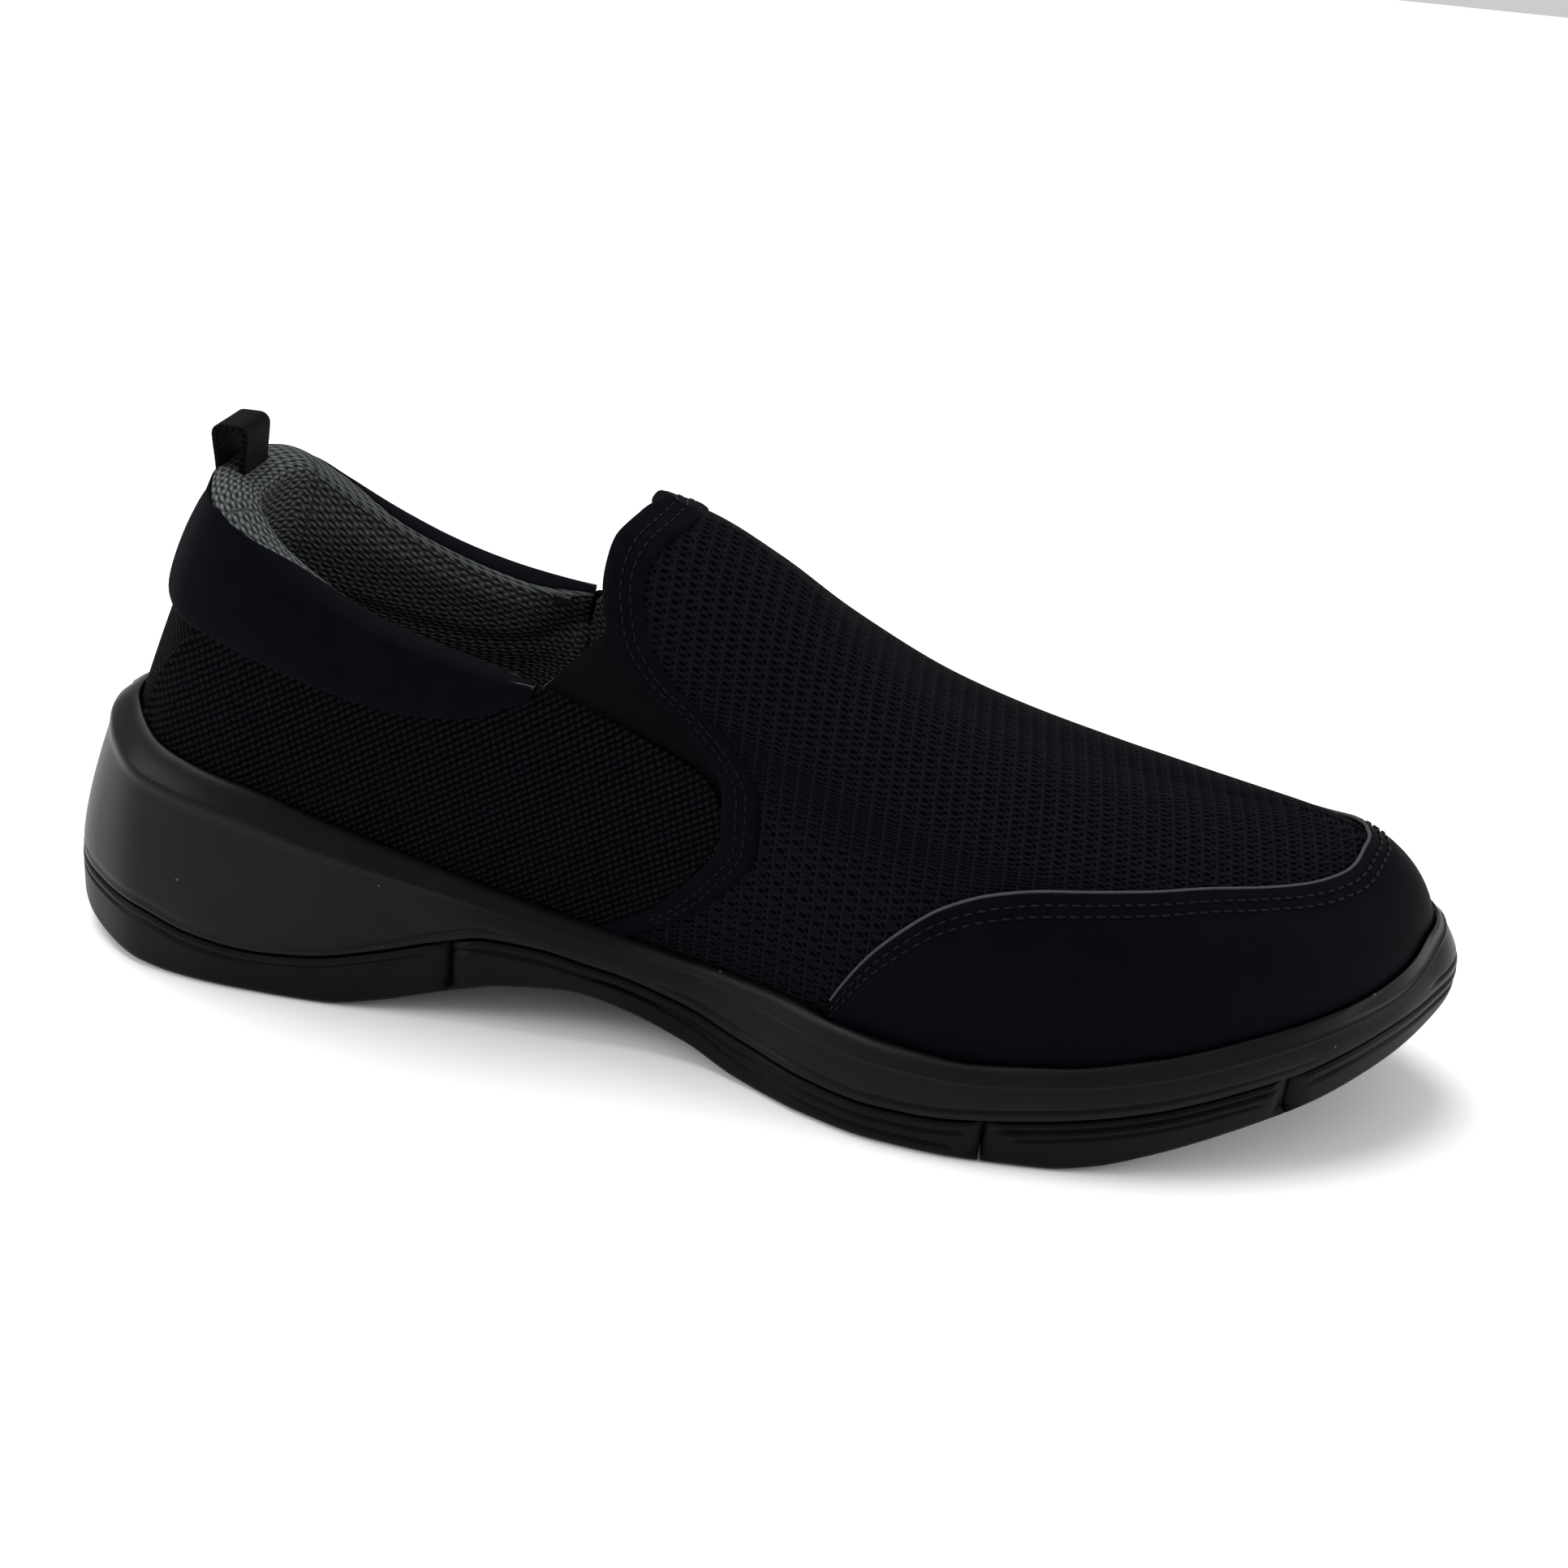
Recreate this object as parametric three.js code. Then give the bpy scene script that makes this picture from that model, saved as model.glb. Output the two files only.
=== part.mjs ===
// A left slip-on shoe, built in its real layers: a foam midsole with rubber pods under it, a board and a
// sock liner on top, and an upper of mesh, padding, stiffeners and lining that wraps round the foot.
// Millimetres. +X points to the toe, +Y to the outer (lateral) side, +Z up, and the ground is Z = 0.
import * as THREE from 'three';

// ---- Overall sizes ----
const LENGTH = 302; // rear of the sole to the tip of the toe bumper
const WIDTH = 106; // across the ball
const HEIGHT = 108; // ground to the top of the vamp

// ---- Walls, layers and clearances ----
const GAP = 0.3; // between moulded pieces that touch
const LAYER_GAP = 0.8; // between the stacked layers of the upper
const RUBBER = 3; // outsole pods
const BOARD = 2; // strobel board
const SOCK = 4; // sock liner
const MESH = 1.6; // knitted outer mesh
const OVERLAY = 1; // toe cap, throat band and collar panel, laid over the mesh
const STIFFENER = 1.2; // heel counter and toe puff
const LINING = 1.1; // inner lining
const ELASTIC = 1.2; // gore
const COLLAR_PADDING = 7; // foam round the ankle
const RIM_RISE = 2.2; // lining rolled over the collar foam
const BAND_WIDTH = 7.5; // binding along the throat
const SEAM_MARGIN = 3; // how far a piece runs on under the one sewn over it
const FLEX_CHANNEL = 8; // bare strip between the inner and outer forefoot pods
const POD_REACH = 24; // how far a side rail runs in under the foot
const PUFF_START = 232; // rear edge of the toe puff, along the foot bed
const TAB_WIDTH = 12; // webbing of the pull loop
const TAB_DEPTH = 8.4; // rear face to front face of the loop
const TAB_RISE = 8; // loop above the collar rim
const WEBBING = 1.4; // webbing thickness

// The outlines below are drawn at this size and stretched to the sizes above.
const DRAWN = { length: 302, width: 106, height: 108 };
const LONG = LENGTH / DRAWN.length;
const WIDE = WIDTH / DRAWN.width;
const TALL = HEIGHT / DRAWN.height;

// ---- Curves ----

// A smooth curve through [x, value] points that never overshoots them.
function through(points) {
  const slopes = points.slice(1).map(([x, y], i) => (y - points[i][1]) / (x - points[i][0]));
  const tangents = points.map((_, i) => {
    const before = slopes[Math.max(i - 1, 0)];
    const after = slopes[Math.min(i, slopes.length - 1)];
    return before * after <= 0 ? 0 : (2 * before * after) / (before + after);
  });
  return (x) => {
    const last = points.length - 1;
    if (x <= points[0][0]) return points[0][1];
    if (x >= points[last][0]) return points[last][1];
    const i = points.findIndex((p) => p[0] > x) - 1;
    const step = points[i + 1][0] - points[i][0];
    const s = (x - points[i][0]) / step;
    return (
      points[i][1] * (1 + 2 * s) * (1 - s) ** 2 +
      points[i + 1][1] * (3 - 2 * s) * s ** 2 +
      step * (tangents[i] * s * (1 - s) ** 2 + tangents[i + 1] * (s - 1) * s ** 2)
    );
  };
}

const lerp = THREE.MathUtils.lerp;
const clamp = THREE.MathUtils.clamp;
const MEDIAL = -1;
const LATERAL = 1;

// A plan outline from its rear and tip, with its half widths as [x, width] on each side. The share t runs
// from 0 at the rear to 1 at the tip, slowly at both ends, so that the ends come out round.
function outline(rear, tip, medial, lateral) {
  const share = (x) => Math.acos(clamp(1 - (2 * (x - rear)) / (tip - rear), -1, 1)) / Math.PI;
  const onShares = (points) => through([[0, 0], ...points.map(([x, w]) => [share(x), w]), [1, 0]]);
  const width = { [MEDIAL]: onShares(medial), [LATERAL]: onShares(lateral) };
  return {
    share: (x) => share(x / LONG),
    x: (t) => LONG * (rear + ((tip - rear) * (1 - Math.cos(Math.PI * t))) / 2),
    y: (t, side) => WIDE * side * width[side](t),
  };
}

// ---- The sole's form ----

const sole = outline(
  -4,
  298,
  [[6, 20.5], [19, 29.5], [40, 34], [60, 35], [90, 34], [120, 34], [138, 36.5], [151, 42], [165, 50],
  [180, 55.5],
    [197, 57.5], [212, 57], [230, 54.5], [250, 48], [268, 38.5], [282, 27], [292, 14.5], [296.5, 7]],
  [[6, 20.5], [19, 29.5], [40, 34.5], [60, 37], [90, 39], [120, 41], [150, 44], [180, 47.5], [200, 48.5],
    [220, 47.5], [240, 43.5], [255, 38], [270, 30.5], [283, 22], [292, 14], [296.5, 7.5]],
);
const heights = (points) => {
  const curve = through(points);
  return (x) => TALL * curve(x / LONG);
};
// The upper edge of the midsole's wall, by the share along the sole: it stands up behind the heel and toe.
const lipCurve = through([[0, 53.5], [0.06, 52.2], [0.11, 49.5], [0.165, 46], [0.25, 42], [0.31, 36.5],
  [0.37, 30.4],
  [0.41, 26.4], [0.455, 22.6], [0.5, 20.2], [0.545, 18.8], [0.6, 18.4], [0.65, 20], [0.7, 23], [0.76, 27.5],
  [0.8, 30], [0.85, 33], [0.9, 36.5], [0.93, 39], [1, 41]]);
const lipHeight = (t) => TALL * lipCurve(t);
// How far the wall's upper edge leans in from the plan outline.
const lipInset = through([[0, 11.5], [0.08, 8], [0.16, 4.4], [0.3, 2], [0.85, 2], [0.93, 4], [1, 5.5]]);
// The line between the midsole and the rubber.
const partingHeight = heights([[-4, 16], [8, 15], [19, 13.6], [31, 10.8], [44, 9.5], [58, 10.6], [72, 13.8],
  [86, 18], [96, 20.2], [106, 19.6], [118, 17.2], [128, 15.2], [138, 12.8], [151, 9.6], [163, 8.2],
  [175, 7.6],
  [187, 7.8], [200, 9], [211, 10.4], [222, 12], [233, 14], [244, 16.4], [254, 18.8], [262, 20.6],
  [272, 23.8],
  [283, 27], [298, 30]]);
// The ground side: flat under the heel and the ball, and clear of the ground at the arch and the toe.
const toeSpring = [[214, 0], [224, 1.2], [234, 4], [245, 7.2], [255, 10.2], [266, 13.2], [276, 16.6],
  [285, 19.6],
  [292, 22], [298, 25]];
const groundMedial = heights([[-4, 7], [2, 3.8], [10, 1.8], [18, 0.5], [26, 0], [60, 0], [74, 2.4],
  [82, 4.8],
  [91, 7.5], [100, 9.6], [113, 10.6], [127, 7.8], [138, 4.4], [150, 0.6], [156, 0], ...toeSpring]);
const groundLateral = heights([[-4, 7], [2, 3.8], [10, 1.8], [18, 0.5], [26, 0], [60, 0], [80, 2],
  [100, 4.4],
  [113, 5], [127, 3.4], [142, 1.2], [152, 0], ...toeSpring]);
const groundHeight = (x, side) => (side === MEDIAL ? groundMedial(x) : groundLateral(x));
// The midsole's bed under the board.
const bedHeight = heights([[4, 30], [30, 29], [60, 25.5], [90, 20], [120, 14.8], [150, 11.4], [180, 10.6],
  [210, 11.6], [230, 14], [250, 18], [270, 22.6], [290, 27]]);

// ---- The foot form that the upper is stretched over ----

const FEATHER_REAR = 4;
const FEATHER_TIP = 290;
const feather = outline(
  FEATHER_REAR,
  FEATHER_TIP,
  [[10, 12.5], [20, 20.5], [40, 25.8], [60, 27.2], [90, 27], [120, 27.6], [138, 30], [152, 34.8], [165, 41],
    [180, 46.5], [197, 49.7], [212, 49.5], [230, 46.8], [250, 40.4], [268, 31], [280, 21.3], [287, 11.3]],
  [[10, 12.5], [20, 20.8], [40, 26.8], [60, 29.6], [90, 32.4], [120, 34.8], [150, 37], [180, 40.2],
  [200, 41],
    [220, 39.8], [240, 35.6], [255, 30], [270, 22.2], [280, 15.5], [287, 9]],
);
const RIDGE_REAR = 60;
const RIDGE_FRONT = 250;
const ridgeHeight = heights([[60, 200], [85, 172], [100, 144], [112, 119], [122, 108], [135, 104.4],
  [149, 96.8], [163, 87], [181, 77], [199, 70.4], [217, 65.6], [235, 62.2], [250, 60.4]]);
const ridgeSide = through([[60, 0], [122, 0], [200, -3], [250, -1]]);
const boxiness = through([[0, 0.95], [0.2, 0.75], [0.35, 0.65], [0.5, 0.72], [0.65, 0.9], [0.8, 0.95],
  [1, 0.95]]);
const fullness = through([[0, 0.15], [0.3, 0.3], [0.45, 0.32], [0.6, 0.16], [1, 0.12]]);
const HEEL_LEAN = 0.36; // forward lean of the heel, per millimetre of height

const boardHeight = (x) => bedHeight(x) + GAP;
const featherHeight = (x) => boardHeight(x) + BOARD + GAP;

// The point of the outer mesh at ring share u and rise v. u runs from -1 at the toe along the inner side to
// 0 behind the heel and on along the outer side to 1 at the toe. v is 0 at the sole and 1 at the ridge.
function form(u, v) {
  if (v > 1) return form(-u, 2 - v);
  const around = u > 1 ? u - 2 : u < -1 ? u + 2 : u;
  const side = around < 0 ? MEDIAL : LATERAL;
  const t = Math.abs(around);
  const x = feather.x(t);
  const ridgeX = lerp(RIDGE_REAR, RIDGE_FRONT, (x / LONG - FEATHER_REAR) / (FEATHER_TIP - FEATHER_REAR));
  const ridgeY = WIDE * ridgeSide(ridgeX);
  const angle = (v * Math.PI) / 2;
  const across = Math.cos(angle) ** boxiness(t) * (1 + fullness(t) * Math.sin(angle));
  const rise = (ridgeHeight(LONG * ridgeX) - featherHeight(x)) * Math.sin(angle);
  const lean = HEEL_LEAN * Math.max(0, Math.cos(Math.PI * t)) ** 3 * (LONG / TALL);
  return new THREE.Vector3(
    lerp(LONG * ridgeX, x, across) + lean * rise,
    lerp(ridgeY, feather.y(t, side), across),
    featherHeight(x) + rise,
  );
}

// The same point moved out of the mesh by offset (inwards when negative), never below the board, and up
// by lift.
function layer(u, v, offset, lift = 0) {
  const step = 0.004;
  const around = form(u + step, v).sub(form(u - step, v));
  const up = form(u, v + step).sub(form(u, v - step));
  const out = up.cross(around).normalize();
  const point = form(u, v).addScaledVector(out, offset);
  point.z = Math.max(point.z, form(u, 0).z) + lift;
  return point;
}

// ---- From the side view to the form ----

// Rise at which ring share u reaches height z.
function riseAt(u, z) {
  const foot = form(u, 0).z;
  const sine = (z - foot) / (form(u, 1).z - foot);
  return (Math.asin(clamp(sine, 0, 1)) * 2) / Math.PI;
}

// The [u, v] of the side view's point (x, z), drawn sizes, on one side of the form.
function onForm(side, [x, z]) {
  let low = 0;
  let high = 1;
  for (let turn = 0; turn < 28; turn++) {
    const middle = (low + high) / 2;
    if (form(side * middle, riseAt(side * middle, z * TALL)).x < x * LONG) low = middle;
    else high = middle;
  }
  return [side * low, riseAt(side * low, z * TALL)];
}

// A seam drawn in the side view, as a function from 0 to 1 to [u, v].
function seam(side, points) {
  const curve = new THREE.SplineCurve(points.map(([x, z]) => new THREE.Vector2(x, z)));
  return (s) => onForm(side, curve.getPoint(s).toArray());
}

// Rise on ring share u where the form crosses the height curve z(x).
function riseUnder(u, curve) {
  let low = 0;
  let high = 1;
  for (let turn = 0; turn < 28; turn++) {
    const middle = (low + high) / 2;
    const point = form(u, middle);
    if (point.z < curve(point.x)) low = middle;
    else high = middle;
  }
  return low;
}

// ---- Building closed bodies ----

// A closed body between two grids of points of the same size. An end that folds shut on itself, as a
// section does at the tip of the toe or the back of the heel, needs no wall there.
function body(outer, inner, { foldFirst = false, foldLast = false } = {}) {
  const corners = [];
  const numbers = new Map();
  const faces = [];
  const number = (p) => {
    const key = [p.x, p.y, p.z].map((value) => Math.round(value * 200)).join(' ');
    if (!numbers.has(key)) {
      numbers.set(key, corners.length);
      corners.push(p);
    }
    return numbers.get(key);
  };
  const triangle = (a, b, c) => {
    const [i, j, k] = [number(a), number(b), number(c)];
    if (i !== j && j !== k && k !== i) faces.push([i, j, k]);
  };
  const quad = (a, b, c, d) => {
    triangle(a, b, c);
    triangle(a, c, d);
  };
  const rows = outer.length - 1;
  const columns = outer[0].length - 1;
  for (let i = 0; i < rows; i++) {
    for (let j = 0; j < columns; j++) {
      quad(outer[i][j], outer[i + 1][j], outer[i + 1][j + 1], outer[i][j + 1]);
      quad(inner[i][j], inner[i][j + 1], inner[i + 1][j + 1], inner[i + 1][j]);
    }
    quad(outer[i][0], inner[i][0], inner[i + 1][0], outer[i + 1][0]);
    quad(outer[i][columns], outer[i + 1][columns], inner[i + 1][columns], inner[i][columns]);
  }
  for (let j = 0; j < columns; j++) {
    if (!foldFirst) quad(outer[0][j], outer[0][j + 1], inner[0][j + 1], inner[0][j]);
    if (!foldLast) quad(outer[rows][j], inner[rows][j], inner[rows][j + 1], outer[rows][j + 1]);
  }
  return closedGeometry(corners, faces);
}

// A geometry with its faces turned outwards.
function closedGeometry(corners, faces) {
  const volume = faces.reduce(
    (sum, [i, j, k]) => sum + corners[i].dot(new THREE.Vector3().crossVectors(corners[j], corners[k])),
    0,
  );
  const turned = volume < 0 ? faces.map(([i, j, k]) => [i, k, j]) : faces;
  const geometry = new THREE.BufferGeometry();
  geometry.setAttribute('position',
    new THREE.Float32BufferAttribute(corners.flatMap((p) => p.toArray()), 3));
  geometry.setIndex(turned.flat());
  geometry.computeVertexNormals();
  return geometry;
}

// A grid of points: rows by columns, both counted in steps.
function grid(rows, columns, point) {
  return Array.from({ length: rows + 1 }, (_, i) =>
    Array.from({ length: columns + 1 }, (_, j) => point(i / rows, j / columns, i, j)),
  );
}

// A layer of the upper bounded by four seams, each a function from 0 to 1 to [u, v]. The bottom and top run
// from the rear to the front, and the rear and front run from the bottom to the top.
function panel({ bottom, top, rear, front }, from, to, rows, columns) {
  const corner = [bottom(0), bottom(1), top(0), top(1)];
  const inside = (s, r) =>
    [0, 1].map(
      (k) =>
        lerp(bottom(s)[k], top(s)[k], r) +
        lerp(rear(r)[k], front(r)[k], s) -
        lerp(lerp(corner[0][k], corner[1][k], s), lerp(corner[2][k], corner[3][k], s), r),
    );
  const places = grid(rows, columns, inside);
  const surface = (offset) => places.map((row) => row.map(([u, v]) => layer(u, v, offset)));
  return body(surface(to), surface(from));
}

const root = new THREE.Group();
root.name = 'slip_on_shoe';
function add(name, geometry, color, roughness) {
  const mesh = new THREE.Mesh(geometry, new THREE.MeshStandardMaterial({ color, roughness, metalness: 0 }));
  mesh.name = name;
  root.add(mesh);
}
const BLACK_MESH = '#17191f';
const BLACK_SUEDE = '#1c1d24';
const BLACK_FOAM = '#24262d';
const GRAY_LINING = '#9a9c9b';

// ---- Layers, counted in from the outside of the mesh ----

const OVER = { from: LAYER_GAP, to: LAYER_GAP + OVERLAY };
const OUTER = { from: -MESH, to: 0 };
const STIFF = { from: -MESH - LAYER_GAP - STIFFENER, to: -MESH - LAYER_GAP };
const INSIDE = { from: STIFF.from - LAYER_GAP - LINING, to: STIFF.from - LAYER_GAP };
const WALL_CLEARANCE = OVER.to + 0.5; // the recess in the midsole stands this far off the mesh

// ---- Midsole: one foam moulding, a wall all round with the upper set down inside it ----

// Where the pods under it start and end, and the stations that the midsole shares with them.
const HEEL_POD_END = 87.4;
const RAIL = [89, 200];
const FOREFOOT_POD = [202.6, 259];
const TOE_POD_START = 262;
const soleShare = (x) => sole.share(x * LONG);
const podPlaces = [HEEL_POD_END, ...RAIL, ...FOREFOOT_POD, TOE_POD_START];
const podEnds = podPlaces.map(soleShare);
const SOLE_STEPS = 28;
const evenSteps = Array.from({ length: SOLE_STEPS + 1 }, (_, i) => i / SOLE_STEPS);
const farFromEnds = (t) => podEnds.every((end) => Math.abs(end - t) > 0.4 / SOLE_STEPS);
const soleStations = [...evenSteps.filter(farFromEnds), ...podEnds].sort((a, b) => a - b);
const stationsBetween = (start, end) => soleStations.filter((t) => t >= start && t <= end);

// A point of the sole's plan outline, moved in by inset.
function solePoint(t, side, inset, z) {
  const step = 0.004;
  const before = solePlan(t - step, side);
  const after = solePlan(t + step, side);
  const along = after.sub(before).normalize();
  const point = solePlan(t, side);
  return new THREE.Vector3(point.x + side * along.y * inset, point.y - side * along.x * inset, z);
}
function solePlan(t, side) {
  const across = t < 0 || t > 1 ? -side : side;
  const within = t < 0 ? -t : t > 1 ? 2 - t : t;
  return new THREE.Vector2(sole.x(within), sole.y(within, across));
}

// The edge of the sole's underside, where the wall turns in.
function soleCorner(t, side, depth) {
  return solePoint(t, side, depth + 1.2, groundHeight(sole.x(t), side) + depth);
}

function midsole() {
  const depth = RUBBER + GAP;
  const wall = (t, side) => {
    const x = sole.x(t);
    const lip = lipHeight(t);
    const parting = partingHeight(x) + GAP;
    const u = side * t;
    const inside = (z) => layer(u, riseAt(u, z), WALL_CLEARANCE);
    const edge = layer(u, 0, WALL_CLEARANCE);
    const floor = new THREE.Vector3(edge.x, edge.y, bedHeight(feather.x(t)));
    return [
      soleCorner(t, side, depth),
      solePoint(t, side, depth, Math.min(groundHeight(x, side) + depth + 1.4, parting - 0.5)),
      solePoint(t, side, depth, parting),
      solePoint(t, side, 0.2, parting + 0.4),
      solePoint(t, side, lerp(0.2, lipInset(t), 0.42), lerp(parting, lip, 0.55)),
      solePoint(t, side, lipInset(t), lip - 1.2),
      solePoint(t, side, lipInset(t) + 0.8, lip),
      inside(lip - 0.4),
      inside(lerp(lip, floor.z, 0.5)),
      floor,
    ];
  };
  const BED_STEPS = 4;
  const outer = [];
  const inner = [];
  for (const t of soleStations) {
    const medial = wall(t, MEDIAL);
    const lateral = wall(t, LATERAL);
    const bed = Array.from({ length: BED_STEPS - 1 }, (_, k) =>
      medial.at(-1).clone().lerp(lateral.at(-1), (k + 1) / BED_STEPS),
    );
    const top = [...medial, ...bed, ...lateral.reverse()];
    outer.push(top);
    inner.push(top.map((_, j) => top[0].clone().lerp(top.at(-1),
      Math.round((3 * j) / (top.length - 1)) / 3)));
  }
  return body(outer, inner, { foldFirst: true, foldLast: true });
}
add('midsole', midsole(), BLACK_FOAM, 0.55);

// ---- Outsole: rubber pods that cup the foot of the midsole ----

// The pod's section on one side, from its upper edge down to the edge of the underside. The face towards the
// midsole lies at depth RUBBER, and the outer face at depth 0.
function podSection(t, side, depth) {
  const x = sole.x(t);
  const ground = groundHeight(x, side);
  const top = Math.max(partingHeight(x) - GAP, ground + RUBBER + 0.8);
  const turn = Math.min(ground + depth + 1.2, top - 0.2);
  return [
    solePoint(t, side, Math.max(depth, 0.3), top),
    solePoint(t, side, depth, Math.max(lerp(ground, top, 0.45), turn)),
    solePoint(t, side, depth === 0 ? 0.4 : depth + 0.1, turn),
    soleCorner(t, side, depth),
  ];
}

// A pod right across the sole between two places along it.
function fullPod(start, end, fold) {
  const section = (t, depth) => {
    const medial = podSection(t, MEDIAL, depth);
    const lateral = podSection(t, LATERAL, depth).reverse();
    const across = [1, 2].map((k) => medial.at(-1).clone().lerp(lateral[0], k / 3));
    return [...medial, ...across, ...lateral];
  };
  const surface = (depth) => stationsBetween(start, end).map((t) => section(t, depth));
  return body(surface(0), surface(RUBBER), fold);
}

// A pod along one side, reaching in under the foot to the share reach(t) of the sole's width.
function sidePod(side, start, end, reach) {
  const section = (t, depth) => {
    const wall = podSection(t, side, depth);
    return [...wall, wall.at(-1).clone().lerp(soleCorner(t, -side, depth), reach(t, side))];
  };
  const surface = (depth) => stationsBetween(start, end).map((t) => section(t, depth));
  return body(surface(0), surface(RUBBER));
}

const soleWidth = (t) => sole.y(t, LATERAL) - sole.y(t, MEDIAL);
const toMiddle = (t, side) => (Math.abs(sole.y(t, side)) - FLEX_CHANNEL / 2) / soleWidth(t);
const railReach = (t) => POD_REACH / soleWidth(t);
add('outsole_heel', fullPod(0, soleShare(HEEL_POD_END), { foldFirst: true }), BLACK_FOAM, 0.7);
for (const [side, word] of [[MEDIAL, 'medial'], [LATERAL, 'lateral']]) {
  add(`outsole_arch_rail_${word}`, sidePod(side, ...RAIL.map(soleShare), railReach), BLACK_FOAM, 0.7);
  add(`outsole_forefoot_${word}`, sidePod(side, ...FOREFOOT_POD.map(soleShare), toMiddle), BLACK_FOAM, 0.7);
}
add('outsole_toe', fullPod(soleShare(TOE_POD_START), 1, { foldLast: true }), BLACK_FOAM, 0.7);

// ---- Strobel board and sock liner: the bed under the foot ----

// A flat sheet within the feather line, inset from it, from height low(x) to high(x).
function bedSheet(inset, low, high, stations) {
  const surface = (height) =>
    grid(stations, 4, (t, w) => {
      const medial = layer(-t, 0, -inset);
      const lateral = layer(t, 0, -inset);
      const point = medial.lerp(lateral, w);
      point.z = height(feather.x(t));
      return point;
    });
  return body(surface(high), surface(low), { foldFirst: true, foldLast: true });
}
add('strobel_board', bedSheet(0, boardHeight, (x) => boardHeight(x) + BOARD, 20), '#8d8a80', 0.9);
const SOCK_CLEARANCE = 1.8; // beside the lining, which leans in over the sock liner at the heel
const sockInset = SOCK_CLEARANCE - INSIDE.from;
add('sock_liner', bedSheet(sockInset, featherHeight, (x) => featherHeight(x) + SOCK, 20), '#2b2d33', 0.9);

// ---- Seams of the upper, drawn in the side view ----

// The collar's upper edge and the seam under its padded panel, as heights over x.
const topline = heights([[28, 105.2], [33, 104], [37, 101.8], [41, 98.8], [45, 95.6], [49, 92.9],
  [54, 89.8],
  [60, 86.6], [68, 83], [78, 79.6], [90, 76.8], [105, 74.8]]);
const collarSeam = heights([[18, 77.5], [33, 76], [43, 73.8], [54, 70.8], [67, 67.6], [78, 66.2], [88, 67],
  [95, 69.6], [105, 73.8]]);
const onSeam = (x, above) => [x, collarSeam(x * LONG) / TALL + above];
// Where the throat's edge lies along x, by height, from the peak of the vamp down to the sole.
const throatCurve = through([[12, 110], [23, 117], [30, 128], [39, 136.5], [50, 142.5], [60, 142],
  [67, 137.5],
  [74, 129.5], [80, 121.5], [88, 116], [98, 114], [104, 114.6], [108, 117.5], [109.5, 122]]);
const throatPoints = (heightsDown, behind) => heightsDown.map((z) => [throatCurve(z) - behind, z]);
const HEEL_SEAM = [[9.5, 36], [13, 46], [15.5, 54], [20, 63], [26.5, 72], onSeam(34, SEAM_MARGIN)];
const GORE_CORNER = [104.5, 75]; // where collar, gore and quarter meet
const HEEL_SEAM_GAP = 0.7; // between the heel panel and the quarters
const THROAT_GAP = 0.8; // between the quarters and the throat's edge

// ---- Quarters: mesh from the heel seam to the throat band ----

for (const [side, word] of [[MEDIAL, 'medial'], [LATERAL, 'lateral']]) {
  const topPoints = [
    onSeam(34 + HEEL_SEAM_GAP, SEAM_MARGIN),
    ...[46, 57, 68, 79, 88, 95].map((x) => onSeam(x, SEAM_MARGIN)),
    [101.5, 74.6],
    GORE_CORNER,
    [115, 71.5],
    [127, 67],
    [137.5, 62.5],
  ];
  const rearPoints = [...HEEL_SEAM.slice(0, -1).map(([x, z]) => [x + HEEL_SEAM_GAP, z]), topPoints[0]];
  const frontPoints = [[106, 20], ...throatPoints([24, 30, 39, 50, 57], THROAT_GAP), [137.5, 62.5]];
  const top = seam(side, topPoints);
  const rear = seam(side, rearPoints);
  const front = seam(side, frontPoints);
  const bottom = (s) => [lerp(rear(0)[0], front(0)[0], s), lerp(rear(0)[1], front(0)[1], s)];
  const edges = { bottom, top, rear, front };
  add(`quarter_${word}`, panel(edges, OUTER.from, OUTER.to, 16, 5), BLACK_MESH, 0.9);
}

// ---- Heel panel: the mesh strip behind the heel, between the two quarters ----

{
  const rear = seam(MEDIAL, HEEL_SEAM);
  const front = seam(LATERAL, HEEL_SEAM);
  const bottom = (s) => [lerp(rear(0)[0], front(0)[0], s), lerp(rear(0)[1], front(0)[1], s)];
  const top = (s) => {
    const u = lerp(rear(1)[0], front(1)[0], s);
    return [u, riseUnder(u, (x) => collarSeam(x) + SEAM_MARGIN)];
  };
  add('heel_panel', panel({ bottom, top, rear, front }, OUTER.from, OUTER.to, 12, 4), BLACK_MESH, 0.9);
}

// ---- Heel counter: a stiff cup between mesh and lining ----

// A band round the heel from ring share -end to end.
function heelBand(end, low, high, offsets, rows, columns) {
  const places = grid(rows, columns, (s, r) => {
    const u = lerp(-end, end, s);
    return [u, lerp(low(u), high(u), r)];
  });
  const surface = (offset) => places.map((row) => row.map(([u, v]) => layer(u, v, offset)));
  return body(surface(offsets.to), surface(offsets.from));
}
const counterTop = heights([[4, 76], [33, 75], [50, 64], [70, 50], [90, 38]]);
const counterEnd = feather.share(74 * LONG);
add(
  'heel_counter',
  heelBand(counterEnd, () => 0, (u) => riseUnder(u, counterTop), STIFF, 20, 4),
  '#c9c5b4',
  0.6,
);

// ---- Collar: padded panel outside, foam, and a lining rolled over the rim ----

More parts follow.
